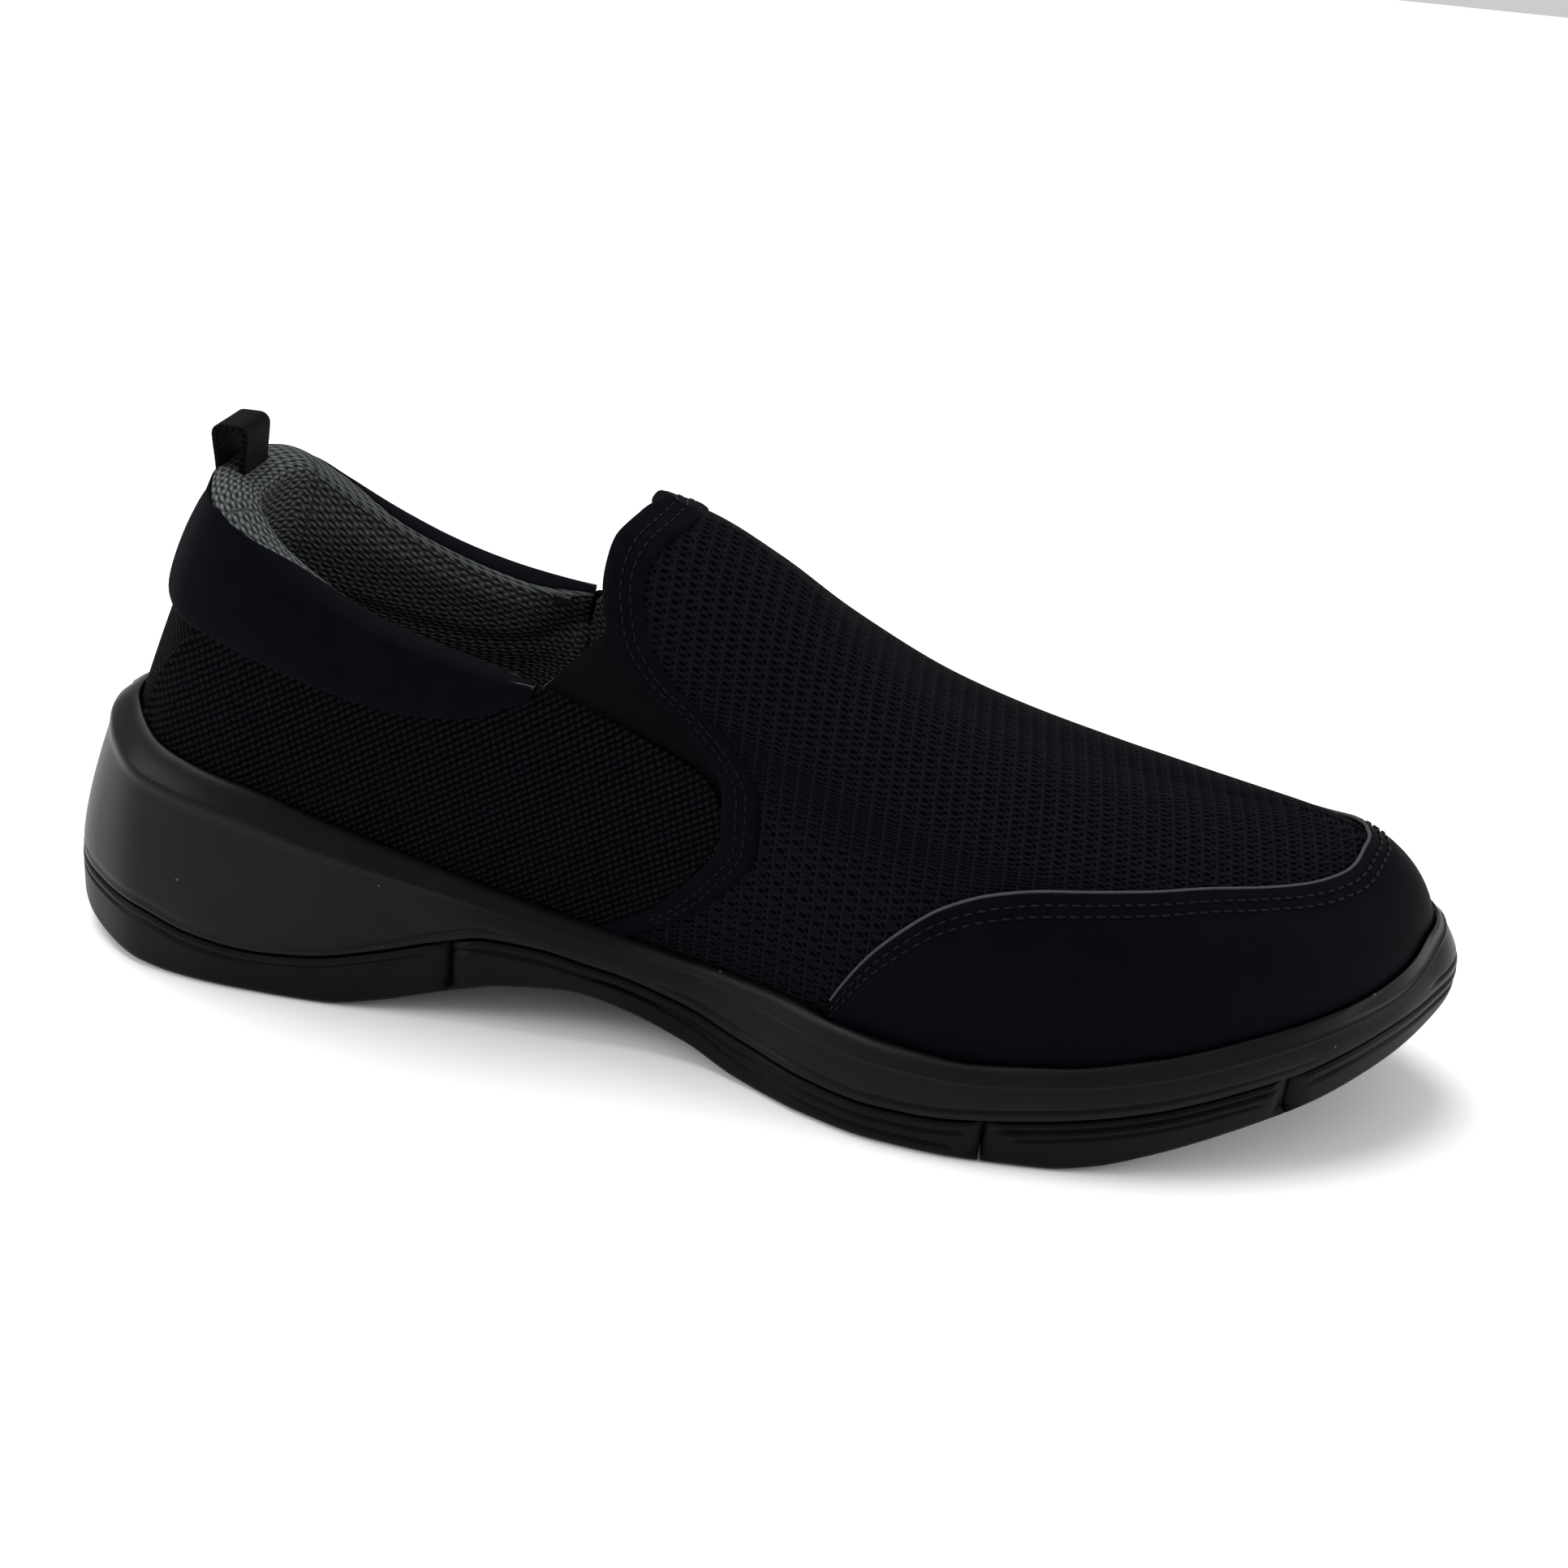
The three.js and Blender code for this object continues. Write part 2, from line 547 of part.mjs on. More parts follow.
const collarEnd = Math.abs(onForm(MEDIAL, [102, 74.6])[0]);
const foamEnd = Math.abs(onForm(MEDIAL, [97.5, 76])[0]);
const SEAM_RISE = 4; // the foam starts this far above the panel's seam
const FOOT_RISE = 1; // and the lining reaches the foam's face this far above it
const BEND_BELOW_SEAM = 12; // the lining starts to thicken in towards the foam's face this far below it
add(
  'collar_panel',
  heelBand(collarEnd, (u) => riseUnder(u, collarSeam), (u) => riseUnder(u,
    (x) => topline(x) - 0.8), OVER, 28, 3),
  BLACK_SUEDE,
  0.95,
);
add(
  'collar_foam',
  heelBand(
    foamEnd,
    (u) => riseUnder(u, (x) => collarSeam(x) + SEAM_RISE),
    (u) => riseUnder(u, topline),
    { from: -COLLAR_PADDING, to: 0 },
    24,
    2,
  ),
  '#3a3b3f',
  0.95,
);
function collarLining() {
  const behind = -COLLAR_PADDING - LAYER_GAP; // the lining's face towards the foam
  const flat = (u) => {
    const bend = riseUnder(u, (x) => collarSeam(x) - BEND_BELOW_SEAM);
    const foot = riseUnder(u, (x) => collarSeam(x) + FOOT_RISE);
    return [[0, INSIDE.to], [bend / 2, INSIDE.to], [bend, INSIDE.to], [foot, behind]];
  };
  // [offset of the foam side, its lift, offset of the foot side, its lift]
  const rolled = [
    [behind, 0, behind - LINING, 0.2],
    [behind + 1, GAP + 0.2, behind - 0.2, RIM_RISE - 0.9],
    [-COLLAR_PADDING / 2, RIM_RISE - LINING, -COLLAR_PADDING / 2, RIM_RISE],
    [LAYER_GAP, GAP + 0.3, OVER.to, RIM_RISE - 0.9],
    [LAYER_GAP, -0.4, OVER.to, -0.4],
  ];
  const foamSide = [];
  const footSide = [];
  const STATIONS = 28;
  for (let i = 0; i <= STATIONS; i++) {
    const u = lerp(-collarEnd, collarEnd, i / STATIONS);
    const top = riseUnder(u, topline);
    foamSide.push([
      ...flat(u).map(([v, offset]) => layer(u, v, offset)),
      ...rolled.map(([offset, lift]) => layer(u, top, offset, lift)),
    ]);
    footSide.push([
      ...flat(u).map(([v, offset]) => layer(u, v, offset - LINING)),
      ...rolled.map(([, , offset, lift]) => layer(u, top, offset, lift)),
    ]);
  }
  return body(foamSide, footSide);
}
add('collar_lining', collarLining(), GRAY_LINING, 0.95);

// ---- Gores: elastic wedges between the collar and the throat ----

const GORE_LAYER = { from: -MESH - LAYER_GAP - ELASTIC, to: -MESH - LAYER_GAP };
for (const [side, word] of [[MEDIAL, 'medial'], [LATERAL, 'lateral']]) {
  const edges = {
    bottom: seam(side, [[103, 71.5], [116, 66], [129, 60.5], [141, 56]]),
    top: seam(side, [[104, 75.4], [109.5, 81.5], [115, 87.5], [121, 93]]),
    rear: seam(side, [[103, 71.5], [104, 75.4]]),
    front: seam(side, [[141, 56], [142, 64], [134, 73], [126, 82], [121, 93]]),
  };
  add(`gore_${word}`, panel(edges, GORE_LAYER.from, GORE_LAYER.to, 6, 4), '#14151a', 0.8);
}

// ---- Quarter linings: between the collar's lining and the vamp's ----

const FOOT_MARGIN = 0.01; // rise at which the linings end above the board
for (const [side, word] of [[MEDIAL, 'medial'], [LATERAL, 'lateral']]) {
  const rearTop = onForm(side, [105.5, 70]);
  const rearU = side * (collarEnd + 0.004);
  const front = seam(side, [[109, 21], ...throatPoints([30, 39, 50], -1), [142.6, 57]]);
  const top = seam(side, [[106, 71], [118, 66], [130, 61], [142.6, 57]]);
  const rear = (r) => (r === 1 ? top(0) : [lerp(rearU, top(0)[0], r), lerp(FOOT_MARGIN, rearTop[1], r)]);
  const bottom = (s) => [lerp(rearU, front(0)[0], s), lerp(FOOT_MARGIN, front(0)[1], s)];
  const edges = { bottom, top, rear, front };
  add(`quarter_lining_${word}`, panel(edges, INSIDE.from, INSIDE.to, 6, 4), GRAY_LINING, 0.95);
}

// ---- Vamp: mesh over the whole forefoot with a binding along the throat, and foam, toe puff and lining
// behind it ----

// Share along the form where rise v on one side crosses the throat's edge, moved forward by ahead.
function throatShare(side, v, ahead) {
  let low = 0.2;
  let high = 0.8;
  for (let turn = 0; turn < 28; turn++) {
    const middle = (low + high) / 2;
    const point = form(side * middle, v);
    if (point.x / LONG < throatCurve(point.z / TALL) + ahead) low = middle;
    else high = middle;
  }
  return low;
}

// A sheet over the forefoot between two edges, each a function of side and rise to a share along the form.
function foreSheet(start, end, offsets, rows, fold) {
  const places = grid(rows, FORE_COLUMNS, (s, r) => {
    const across = 2 * r - 1;
    const side = across < 0 ? MEDIAL : LATERAL;
    const v = 1 - Math.abs(across);
    return [side * lerp(start(side, v), end(side, v), s), v];
  });
  const surface = (offset) => places.map((row) => row.map(([u, v]) => layer(u, v, offset)));
  return body(surface(offsets.to), surface(offsets.from), fold);
}
const FORE_COLUMNS = 22;
const throatEdge = (ahead) => (side, v) => throatShare(side, v, ahead);
const toeTip = () => 1;
const puffEdge = () => feather.share(PUFF_START * LONG);
const meetsAtTip = { foldLast: true };
add('vamp', foreSheet(throatEdge(0.3), toeTip, OUTER, 16, meetsAtTip), BLACK_MESH, 0.9);
add('throat_band', foreSheet(throatEdge(-0.2), throatEdge(BAND_WIDTH), OVER, 2), BLACK_SUEDE, 0.9);
const foamEdge = () => puffEdge() - 0.004;
const BEHIND_VAMP = { from: STIFF.from + 0.15, to: STIFF.to - GAP };
add('vamp_foam', foreSheet(throatEdge(BAND_WIDTH + 2), foamEdge, BEHIND_VAMP, 8), '#3a3b3f', 0.95);
add('toe_puff', foreSheet(puffEdge, toeTip, BEHIND_VAMP, 8, meetsAtTip), '#c9c5b4', 0.6);
add('vamp_lining', foreSheet(throatEdge(2.5), toeTip, INSIDE, 16, meetsAtTip), GRAY_LINING, 0.95);

// ---- Toe cap: smooth microfibre over the mesh, round the toe ----

// Seam of the toe cap, as rises over the ring share, from where it leaves the sole to the toe's centre line.
const CAP_SEAM = [[166, 17], [170, 27], [175, 36], [181, 43], [188, 48.5], [196, 51.6], [209, 53],
  [225, 53.2],
  [240, 53.4], [257, 53], [266, 53.6], [272, 55.6]];
const CAP_PEAK = 0.66; // rise of the seam on the centre line
function capRise(side) {
  const points = CAP_SEAM.map((point) => onForm(side, point)).map(([u, v]) => [Math.abs(u), v]);
  return through([...points, [1, CAP_PEAK]]);
}
const capRises = { [MEDIAL]: capRise(MEDIAL), [LATERAL]: capRise(LATERAL) };

// A band round the toe. s runs from the inner side round the tip to the outer side.
function toeBand(start, low, high, offsets, rows, columns) {
  const places = grid(rows, columns, (s, r) => {
    const across = 2 * s - 1;
    const side = across < 0 ? MEDIAL : LATERAL;
    const t = lerp(1, start(side), Math.abs(across));
    return [side * t, lerp(low(t, side), high(t, side), r)];
  });
  const surface = (offset) => places.map((row) => row.map(([u, v]) => layer(u, v, offset)));
  return body(surface(offsets.to), surface(offsets.from));
}
const capStart = (side) => Math.abs(onForm(side, [168.6, 20.5])[0]);
const CAP_MARGIN = 0.012; // rise of the cap's lower edge above the board
const capTop = (t, side) => capRises[side](t);
add('toe_cap', toeBand(capStart, () => CAP_MARGIN, capTop, OVER, 32, 4), BLACK_SUEDE, 0.85);

// ---- Pull loop: webbing folded over and sewn to the top of the collar behind the heel ----

const LOOP_GAP = 0.7; // above the highest line of the rim
function pullLoop() {
  const middle = layer(0, riseUnder(0, topline), OVER.to - COLLAR_PADDING / 2, RIM_RISE + LOOP_GAP);
  const rear = middle.x - TAB_DEPTH / 2;
  const front = middle.x + TAB_DEPTH / 2;
  const foot = middle.z;
  const bend = TAB_DEPTH / 2;
  const shoulder = foot + TAB_RISE - bend;
  const shape = new THREE.Shape();
  shape.moveTo(rear, foot);
  shape.lineTo(rear + WEBBING, foot);
  shape.lineTo(rear + WEBBING, shoulder);
  shape.absarc(middle.x, shoulder, bend - WEBBING, Math.PI, 0, true);
  shape.lineTo(front - WEBBING, foot);
  shape.lineTo(front, foot);
  shape.lineTo(front, shoulder);
  shape.absarc(middle.x, shoulder, bend, 0, Math.PI, false);
  shape.closePath();
  const geometry = new THREE.ExtrudeGeometry(shape, { depth: TAB_WIDTH, bevelEnabled: false,
    curveSegments: 8 });
  geometry.rotateX(Math.PI / 2);
  geometry.translate(0, TAB_WIDTH / 2, 0);
  return geometry;
}
add('pull_loop', pullLoop(), '#101114', 0.85);

// ---- Origin: the middle of the footprint, on the ground ----

const plan = new THREE.Box3();
root.traverse((mesh) => mesh.isMesh && plan.expandByObject(mesh));
root.position.set(-(plan.min.x + plan.max.x) / 2, -(plan.min.y + plan.max.y) / 2, 0);

export default root;
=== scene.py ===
import math

import bpy
import numpy as np
from mathutils import Matrix, Vector


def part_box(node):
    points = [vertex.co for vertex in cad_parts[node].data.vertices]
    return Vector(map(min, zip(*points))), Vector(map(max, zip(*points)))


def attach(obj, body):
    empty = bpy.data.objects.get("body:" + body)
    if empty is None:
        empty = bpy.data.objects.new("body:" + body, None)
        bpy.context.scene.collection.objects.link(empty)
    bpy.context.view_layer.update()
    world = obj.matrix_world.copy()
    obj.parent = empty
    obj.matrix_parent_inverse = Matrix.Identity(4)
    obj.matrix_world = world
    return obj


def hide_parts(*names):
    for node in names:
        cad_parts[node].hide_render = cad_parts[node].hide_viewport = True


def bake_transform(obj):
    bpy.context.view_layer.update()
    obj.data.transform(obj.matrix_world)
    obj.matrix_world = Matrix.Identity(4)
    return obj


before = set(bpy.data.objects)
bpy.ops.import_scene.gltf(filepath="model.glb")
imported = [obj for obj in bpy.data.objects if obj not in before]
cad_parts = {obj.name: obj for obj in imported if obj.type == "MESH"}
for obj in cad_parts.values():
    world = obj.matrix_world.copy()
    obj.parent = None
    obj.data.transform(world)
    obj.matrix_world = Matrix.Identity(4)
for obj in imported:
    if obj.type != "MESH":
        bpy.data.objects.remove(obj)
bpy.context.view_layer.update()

# ---- Camera, light and floor ----
# A long lens from the inner side, a little above the shoe. The shoe stands in a white photo tent with a
# bright roof and two small soft boxes, on seamless white card.
SENSOR = 36.0
LENS = 44.85
camera = bpy.data.objects.new("camera", bpy.data.cameras.new("camera"))
bpy.context.scene.collection.objects.link(camera)
camera.data.sensor_width = SENSOR
camera.data.lens = LENS
camera.data.shift_x = 0.0052
camera.data.shift_y = 0.0104
right = Vector((0.98867, 0.11875, 0.09184))
up = Vector((-0.13354, 0.41622, 0.89941))
back = Vector((0.06857, -0.90148, 0.42736))
turned = Matrix((right, up, back)).transposed().to_4x4()
camera.matrix_world = Matrix.Translation((0.0318, -0.3741, 0.2245)) @ turned
bpy.context.scene.camera = camera


def soft_light(name, place, target, size, watts):
    """A square soft box at place, facing target."""
    lamp = bpy.data.objects.new(name, bpy.data.lights.new(name, "AREA"))
    lamp.data.shape = "SQUARE"
    lamp.data.size = size
    lamp.data.energy = watts
    lamp.location = place
    lamp.rotation_euler = (Vector(target) - Vector(place)).to_track_quat("-Z", "Y").to_euler()
    bpy.context.scene.collection.objects.link(lamp)


soft_light("left_softbox", (-0.8, -0.35, 0.5), (-0.1, 0, 0.04), 0.4, 3)
soft_light("toe_softbox", (0.85, -0.1, 0.35), (0.12, 0, 0.03), 0.3, 2)
sky = bpy.data.objects.new("tent_roof", bpy.data.lights.new("tent_roof", "SUN"))
sky.data.energy = 2.4
sky.data.angle = math.radians(40)
sky.rotation_euler = Vector((-0.35, 0.3, 1.0)).to_track_quat("Z", "Y").to_euler()
bpy.context.scene.collection.objects.link(sky)
world = bpy.data.worlds.new("white_tent")
bpy.context.scene.world = world
world.use_nodes = True
world.node_tree.nodes["Background"].inputs["Color"].default_value = (1, 1, 1, 1)
world.node_tree.nodes["Background"].inputs["Strength"].default_value = 0.6
bpy.context.scene.view_settings.view_transform = "Standard"


def linear(hex_colour):
    """An sRGB hex colour as linear RGBA."""
    channels = [int(hex_colour[i:i + 2], 16) / 255 for i in (1, 3, 5)]
    return tuple(c / 12.92 if c <= 0.04045 else ((c + 0.055) / 1.055) ** 2.4 for c in channels) + (1.0,)


def add(material, kind, values=None, links=None):
    """A node with its settings and the sockets that feed it."""
    made = material.node_tree.nodes.new(kind)
    for key, value in (values or {}).items():
        if isinstance(key, str) and hasattr(made, key):
            setattr(made, key, value)
        else:
            made.inputs[key].default_value = value
    for key, source in (links or {}).items():
        material.node_tree.links.new(source, made.inputs[key])
    return made


def finish(name, roughness, **shader_values):
    """A material with its Principled shader."""
    material = bpy.data.materials.new(name)
    material.use_nodes = True
    shader = material.node_tree.nodes["Principled BSDF"]
    shader.inputs["Roughness"].default_value = roughness
    for key, value in shader_values.items():
        shader.inputs[key.replace("_", " ")].default_value = value
    return material, shader


def two_tone(material, share, dark, light, low=0.0, high=1.0):
    """A colour that runs from dark to light as share runs from low to high."""
    ramp = add(material, "ShaderNodeValToRGB", links={0: share})
    ramp.color_ramp.elements[0].position = low
    ramp.color_ramp.elements[1].position = high
    ramp.color_ramp.elements[0].color = linear(dark)
    ramp.color_ramp.elements[1].color = linear(light)
    return ramp.outputs["Color"]


def noise(material, grain, detail=3.0):
    """Cloudy noise with grains of this size in millimetres, over the object itself."""
    place = add(material, "ShaderNodeTexCoord").outputs["Object"]
    values = {"Scale": 1000 / grain, "Detail": detail}
    return add(material, "ShaderNodeTexNoise", values, {"Vector": place}).outputs["Fac"]


def stripes(material, place, period, turn=0.0, waver=0.0):
    """Bands of this period in millimetres across place, turned by turn radians, as a value from 0 to 1.
    They waver by up to waver radians, as knitted rows do."""
    turned = add(material, "ShaderNodeMapping", {"Rotation": (0, 0, turn)}, {"Vector": place})
    scale = math.pi / 10 / period
    values = {"Scale": scale, "Distortion": waver, "Detail": 1.0, "Detail Scale": 0.5 / scale}
    return add(material, "ShaderNodeTexWave", values, {"Vector": turned.outputs[0]}).outputs["Fac"]


def combine(material, operation, first, second):
    """Two values, or a value and a number, through one sum."""
    links = {0: first}
    values = {"operation": operation}
    if isinstance(second, (int, float)):
        values[1] = second
    else:
        links[1] = second
    return add(material, "ShaderNodeMath", values, links).outputs[0]


def emboss(material, shader, height, depth, strength=1.0):
    """Relief of this depth in millimetres from height, 0 to 1, on the shader."""
    values = {"Distance": depth / 1000, "Strength": strength}
    bump = add(material, "ShaderNodeBump", values, {"Height": height})
    material.node_tree.links.new(bump.outputs["Normal"], shader.inputs["Normal"])


def tint(material, shader, colour):
    """Feeds the shader's base colour."""
    material.node_tree.links.new(colour, shader.inputs["Base Color"])


# The floor is a seamless sheet of matt white card.
bpy.ops.object.select_all(action="DESELECT")
bpy.ops.mesh.primitive_plane_add(size=16, location=(0, 0, -0.0002))
floor = bpy.context.object
floor.name = "floor"
card, card_shader = finish("white_card", 0.9)
tint(card, card_shader, two_tone(card, noise(card, 40), "#fafafa", "#fdfdfd"))
floor.data.materials.append(card)

# ---- The last that the shoe is made on ----
# The foot form that the upper is pulled over, and the sole's outlines and heights round it, in millimetres
# and in the frame's own shape. Each piece below is a stretch of this surface at its own height above it.
TOE_TIP = 298.0
SHIFT = np.array([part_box("outsole_toe")[1][0] * 1000 - TOE_TIP, 4.5, 0.0])
GAP = 0.3
BOARD = 2.0
MEDIAL, LATERAL = -1, 1
SIDES = ((MEDIAL, "medial"), (LATERAL, "lateral"))


def through(points):
    """A smooth curve through [x, value] points that never overshoots them."""
    xs, ys = np.array(points, float).T
    slopes = np.diff(ys) / np.diff(xs)
    before = np.concatenate([slopes[:1], slopes])
    after = np.concatenate([slopes, slopes[-1:]])
    same = before * after > 0
    total = np.where(same, before + after, 1)
    tangents = np.where(same, 2 * before * after / total, 0)

    def curve(x):
        x = np.clip(np.asarray(x, float), xs[0], xs[-1])
        i = np.clip(np.searchsorted(xs, x, side="right") - 1, 0, len(xs) - 2)
        step = xs[i + 1] - xs[i]
        s = (x - xs[i]) / step
        ends = ys[i] * (1 + 2 * s) * (1 - s) ** 2 + ys[i + 1] * (3 - 2 * s) * s**2
        return ends + step * (tangents[i] * s * (1 - s) ** 2 + tangents[i + 1] * (s - 1) * s**2)

    return curve


def lerp(a, b, share):
    return a + (b - a) * share


def smooth(low, high, x):
    """0 below low, 1 above high and a soft turn between."""
    s = np.clip((x - low) / (high - low), 0, 1)
    return s * s * (3 - 2 * s)


def outline(rear, tip, medial, lateral):
    """A plan outline as its share along x, x at a share, and half width at a share and side."""
    def share(x):
        return np.arccos(np.clip(1 - 2 * (np.asarray(x, float) - rear) / (tip - rear), -1, 1)) / math.pi

    def on_shares(points):
        return through([[0, 0], *[[float(share(x)), w] for x, w in points], [1, 0]])

    inner, outer = on_shares(medial), on_shares(lateral)
    return (share,
            lambda t: rear + (tip - rear) * (1 - np.cos(math.pi * t)) / 2,
            lambda t, side: np.where(np.asarray(side) < 0, -inner(t), outer(t)))


sole_share, sole_x, sole_y = outline(
    -4, TOE_TIP,
    [[6, 20.5], [19, 29.5], [40, 34], [60, 35], [90, 34], [120, 34], [138, 36.5], [151, 42], [165, 50],
     [180, 55.5], [197, 57.5], [212, 57], [230, 54.5], [250, 48], [268, 38.5], [282, 27], [292, 14.5],
     [296.5, 7]],
    [[6, 20.5], [19, 29.5], [40, 34.5], [60, 37], [90, 39], [120, 41], [150, 44], [180, 47.5], [200, 48.5],
     [220, 47.5], [240, 43.5], [255, 38], [270, 30.5], [283, 22], [292, 14], [296.5, 7.5]],
)
feather_share, feather_x, feather_y = outline(
    4, 290,
    [[10, 12.5], [20, 20.5], [40, 25.8], [60, 27.2], [90, 27], [120, 27.6], [138, 30], [152, 34.8],
     [165, 41], [180, 46.5], [197, 49.7], [212, 49.5], [230, 46.8], [250, 40.4], [268, 31], [280, 21.3],
     [287, 11.3]],
    [[10, 12.5], [20, 20.8], [40, 26.8], [60, 29.6], [90, 32.4], [120, 34.8], [150, 37], [180, 40.2],
     [200, 41], [220, 39.8], [240, 35.6], [255, 30], [270, 22.2], [280, 15.5], [287, 9]],
)
lip_height = through(
    [[0, 53.5], [0.06, 52.2], [0.11, 49.5], [0.165, 46], [0.25, 42], [0.31, 36.5], [0.37, 30.4],
     [0.41, 26.4], [0.455, 22.6], [0.5, 20.2], [0.545, 18.8], [0.6, 18.4], [0.65, 20], [0.7, 23],
     [0.76, 27.5], [0.8, 30], [0.85, 33], [0.9, 36.5], [0.93, 39], [1, 41]])
lip_inset = through([[0, 11.5], [0.08, 8], [0.16, 4.4], [0.3, 2], [0.85, 2], [0.93, 4], [1, 5.5]])
parting_height = through(
    [[-4, 16], [8, 15], [19, 13.6], [31, 10.8], [44, 9.5], [58, 10.6], [72, 13.8], [86, 18], [96, 20.2],
     [106, 19.6], [118, 17.2], [128, 15.2], [138, 12.8], [151, 9.6], [163, 8.2], [175, 7.6], [187, 7.8],
     [200, 9], [211, 10.4], [222, 12], [233, 14], [244, 16.4], [254, 18.8], [262, 20.6], [272, 23.8],
     [283, 27], [298, 30]])
TOE_SPRING = [[214, 0], [224, 1.2], [234, 4], [245, 7.2], [255, 10.2], [266, 13.2], [276, 16.6], [285, 19.6],
              [292, 22], [298, 25]]
ground_medial = through(
    [[-4, 7], [2, 3.8], [10, 1.8], [18, 0.5], [26, 0], [60, 0], [74, 2.4], [82, 4.8], [91, 7.5],
     [100, 9.6], [113, 10.6], [127, 7.8], [138, 4.4], [150, 0.6], [156, 0], *TOE_SPRING])
ground_lateral = through(
    [[-4, 7], [2, 3.8], [10, 1.8], [18, 0.5], [26, 0], [60, 0], [80, 2], [100, 4.4], [113, 5], [127, 3.4],
     [142, 1.2], [152, 0], *TOE_SPRING])
bed_height = through(
    [[4, 30], [30, 29], [60, 25.5], [90, 20], [120, 14.8], [150, 11.4], [180, 10.6], [210, 11.6],
     [230, 14], [250, 18], [270, 22.6], [290, 27]])
RIDGE_REAR, RIDGE_FRONT = 60, 250
ridge_height = through(
    [[60, 200], [85, 172], [100, 144], [112, 119], [122, 108], [135, 104.4], [149, 96.8], [163, 87],
     [181, 77], [199, 70.4], [217, 65.6], [235, 62.2], [250, 60.4]])
ridge_side = through([[60, 0], [122, 0], [200, -3], [250, -1]])
boxiness = through([[0, 0.95], [0.2, 0.75], [0.35, 0.65], [0.5, 0.72], [0.65, 0.9], [0.8, 0.95], [1, 0.95]])
fullness = through([[0, 0.15], [0.3, 0.3], [0.45, 0.32], [0.6, 0.16], [1, 0.12]])
HEEL_LEAN = 0.36


def foot_height(x):
    return bed_height(x) + GAP + BOARD + GAP


def form(u, v):
    """Points of the last at ring shares u, -1 to 1 from the toe round the heel, and rises v, 0 to 1."""
    u, v = np.broadcast_arrays(np.asarray(u, float), np.asarray(v, float))
    over = v > 1
    u, v = np.where(over, -u, u), np.where(over, 2 - v, v)
    u = np.where(u > 1, u - 2, np.where(u < -1, u + 2, u))
    t = np.abs(u)
    x = feather_x(t)
    ridge_x = lerp(RIDGE_REAR, RIDGE_FRONT, (x - 4) / 286)
    angle = v * math.pi / 2
    across = np.cos(angle).clip(0) ** boxiness(t) * (1 + fullness(t) * np.sin(angle))
    rise = (ridge_height(ridge_x) - foot_height(x)) * np.sin(angle)
    lean = HEEL_LEAN * np.cos(math.pi * t).clip(0) ** 3
    return np.stack([lerp(ridge_x, x, across) + lean * rise,
                     lerp(ridge_side(ridge_x), feather_y(t, np.where(u < 0, MEDIAL, LATERAL)), across),
                     foot_height(x) + rise], axis=-1)


def outwards(u, v):
    step = 0.004
    around = form(u + step, v) - form(u - step, v)
    upwards = form(u, v + step) - form(u, v - step)
    out = np.cross(upwards, around)
    return out / np.linalg.norm(out, axis=-1, keepdims=True)


def layer(u, v, offset, lift=0.0):
    """The last's surface moved out by offset millimetres and up by lift, never below the board."""
    u, v, offset, lift = np.broadcast_arrays(*[np.asarray(a, float) for a in (u, v, offset, lift)])
    point = form(u, v) + outwards(u, v) * offset[..., None]
    point[..., 2] = np.maximum(point[..., 2], form(u, 0 * v)[..., 2]) + lift
    return point


# ---- Midsole ----
# One compression-moulded EVA foam shell. The mould leaves a satin skin, a rolled upper edge and a fine
# groove above the parting with the rubber.
eva, eva_shader = finish("compression_moulded_eva", 0.36, Specular_IOR_Level=0.11)
# Satin skin: broad soft highlights, slightly uneven, with pale dust specks.
specks = add(eva, "ShaderNodeTexVoronoi", {"Scale": 1000 / 9, "Randomness": 1.0},
             {"Vector": add(eva, "ShaderNodeTexCoord").outputs["Object"]}).outputs["Distance"]
speck_share = combine(eva, "LESS_THAN", specks, 0.03)
eva_skin = two_tone(eva, noise(eva, 14), "#08090c", "#0c0d11", 0.3, 0.7)
eva_mix = add(eva, "ShaderNodeMix", {"data_type": "RGBA"}, {0: speck_share, 6: eva_skin})
eva_mix.inputs[7].default_value = linear("#4b4d54")
tint(eva, eva_shader, eva_mix.outputs[2])
emboss(eva, eva_shader, noise(eva, 0.7), 0.05, 0.6)


RUBBER = 3.0
OVERLAY = 1.0
LAYER_GAP = 0.8
OVER = LAYER_GAP + OVERLAY


def sole_plan(t, side):
    """Plan of the sole's outline at a share and side, carried on past both ends."""
    across = np.where((t < 0) | (t > 1), -side, side)
    within = np.where(t < 0, -t, np.where(t > 1, 2 - t, t))
    return np.stack([sole_x(within), sole_y(within, across)], axis=-1)


def sole_point(t, side, inset, z):
    """A point of the sole's outline, moved in by inset, at height z."""
    t, side, inset, z = np.broadcast_arrays(*[np.asarray(a, float) for a in (t, side, inset, z)])
    step = 0.004
    along = sole_plan(t + step, side) - sole_plan(t - step, side)
    along /= np.linalg.norm(along, axis=-1, keepdims=True)
    plan = sole_plan(t, side)
    return np.stack([plan[..., 0] + side * along[..., 1] * inset,
                     plan[..., 1] - side * along[..., 0] * inset, z], axis=-1)


def ground_height(x, side):
    return np.where(np.asarray(side) < 0, ground_medial(x), ground_lateral(x))


def ring(stations):
    """Shares and sides round the sole, from the toe along the inner side and back along the outer side."""
    around = np.linspace(-1, 1, 2 * stations + 1)
    return np.abs(around), np.where(around < 0, MEDIAL, LATERAL), around


def rise_at(u, z):
    """Rise at which ring share u reaches height z."""
    foot = form(u, 0)[..., 2]
    sine = (z - foot) / (form(u, 1)[..., 2] - foot)
    return np.arcsin(np.clip(sine, 0, 1)) * 2 / math.pi


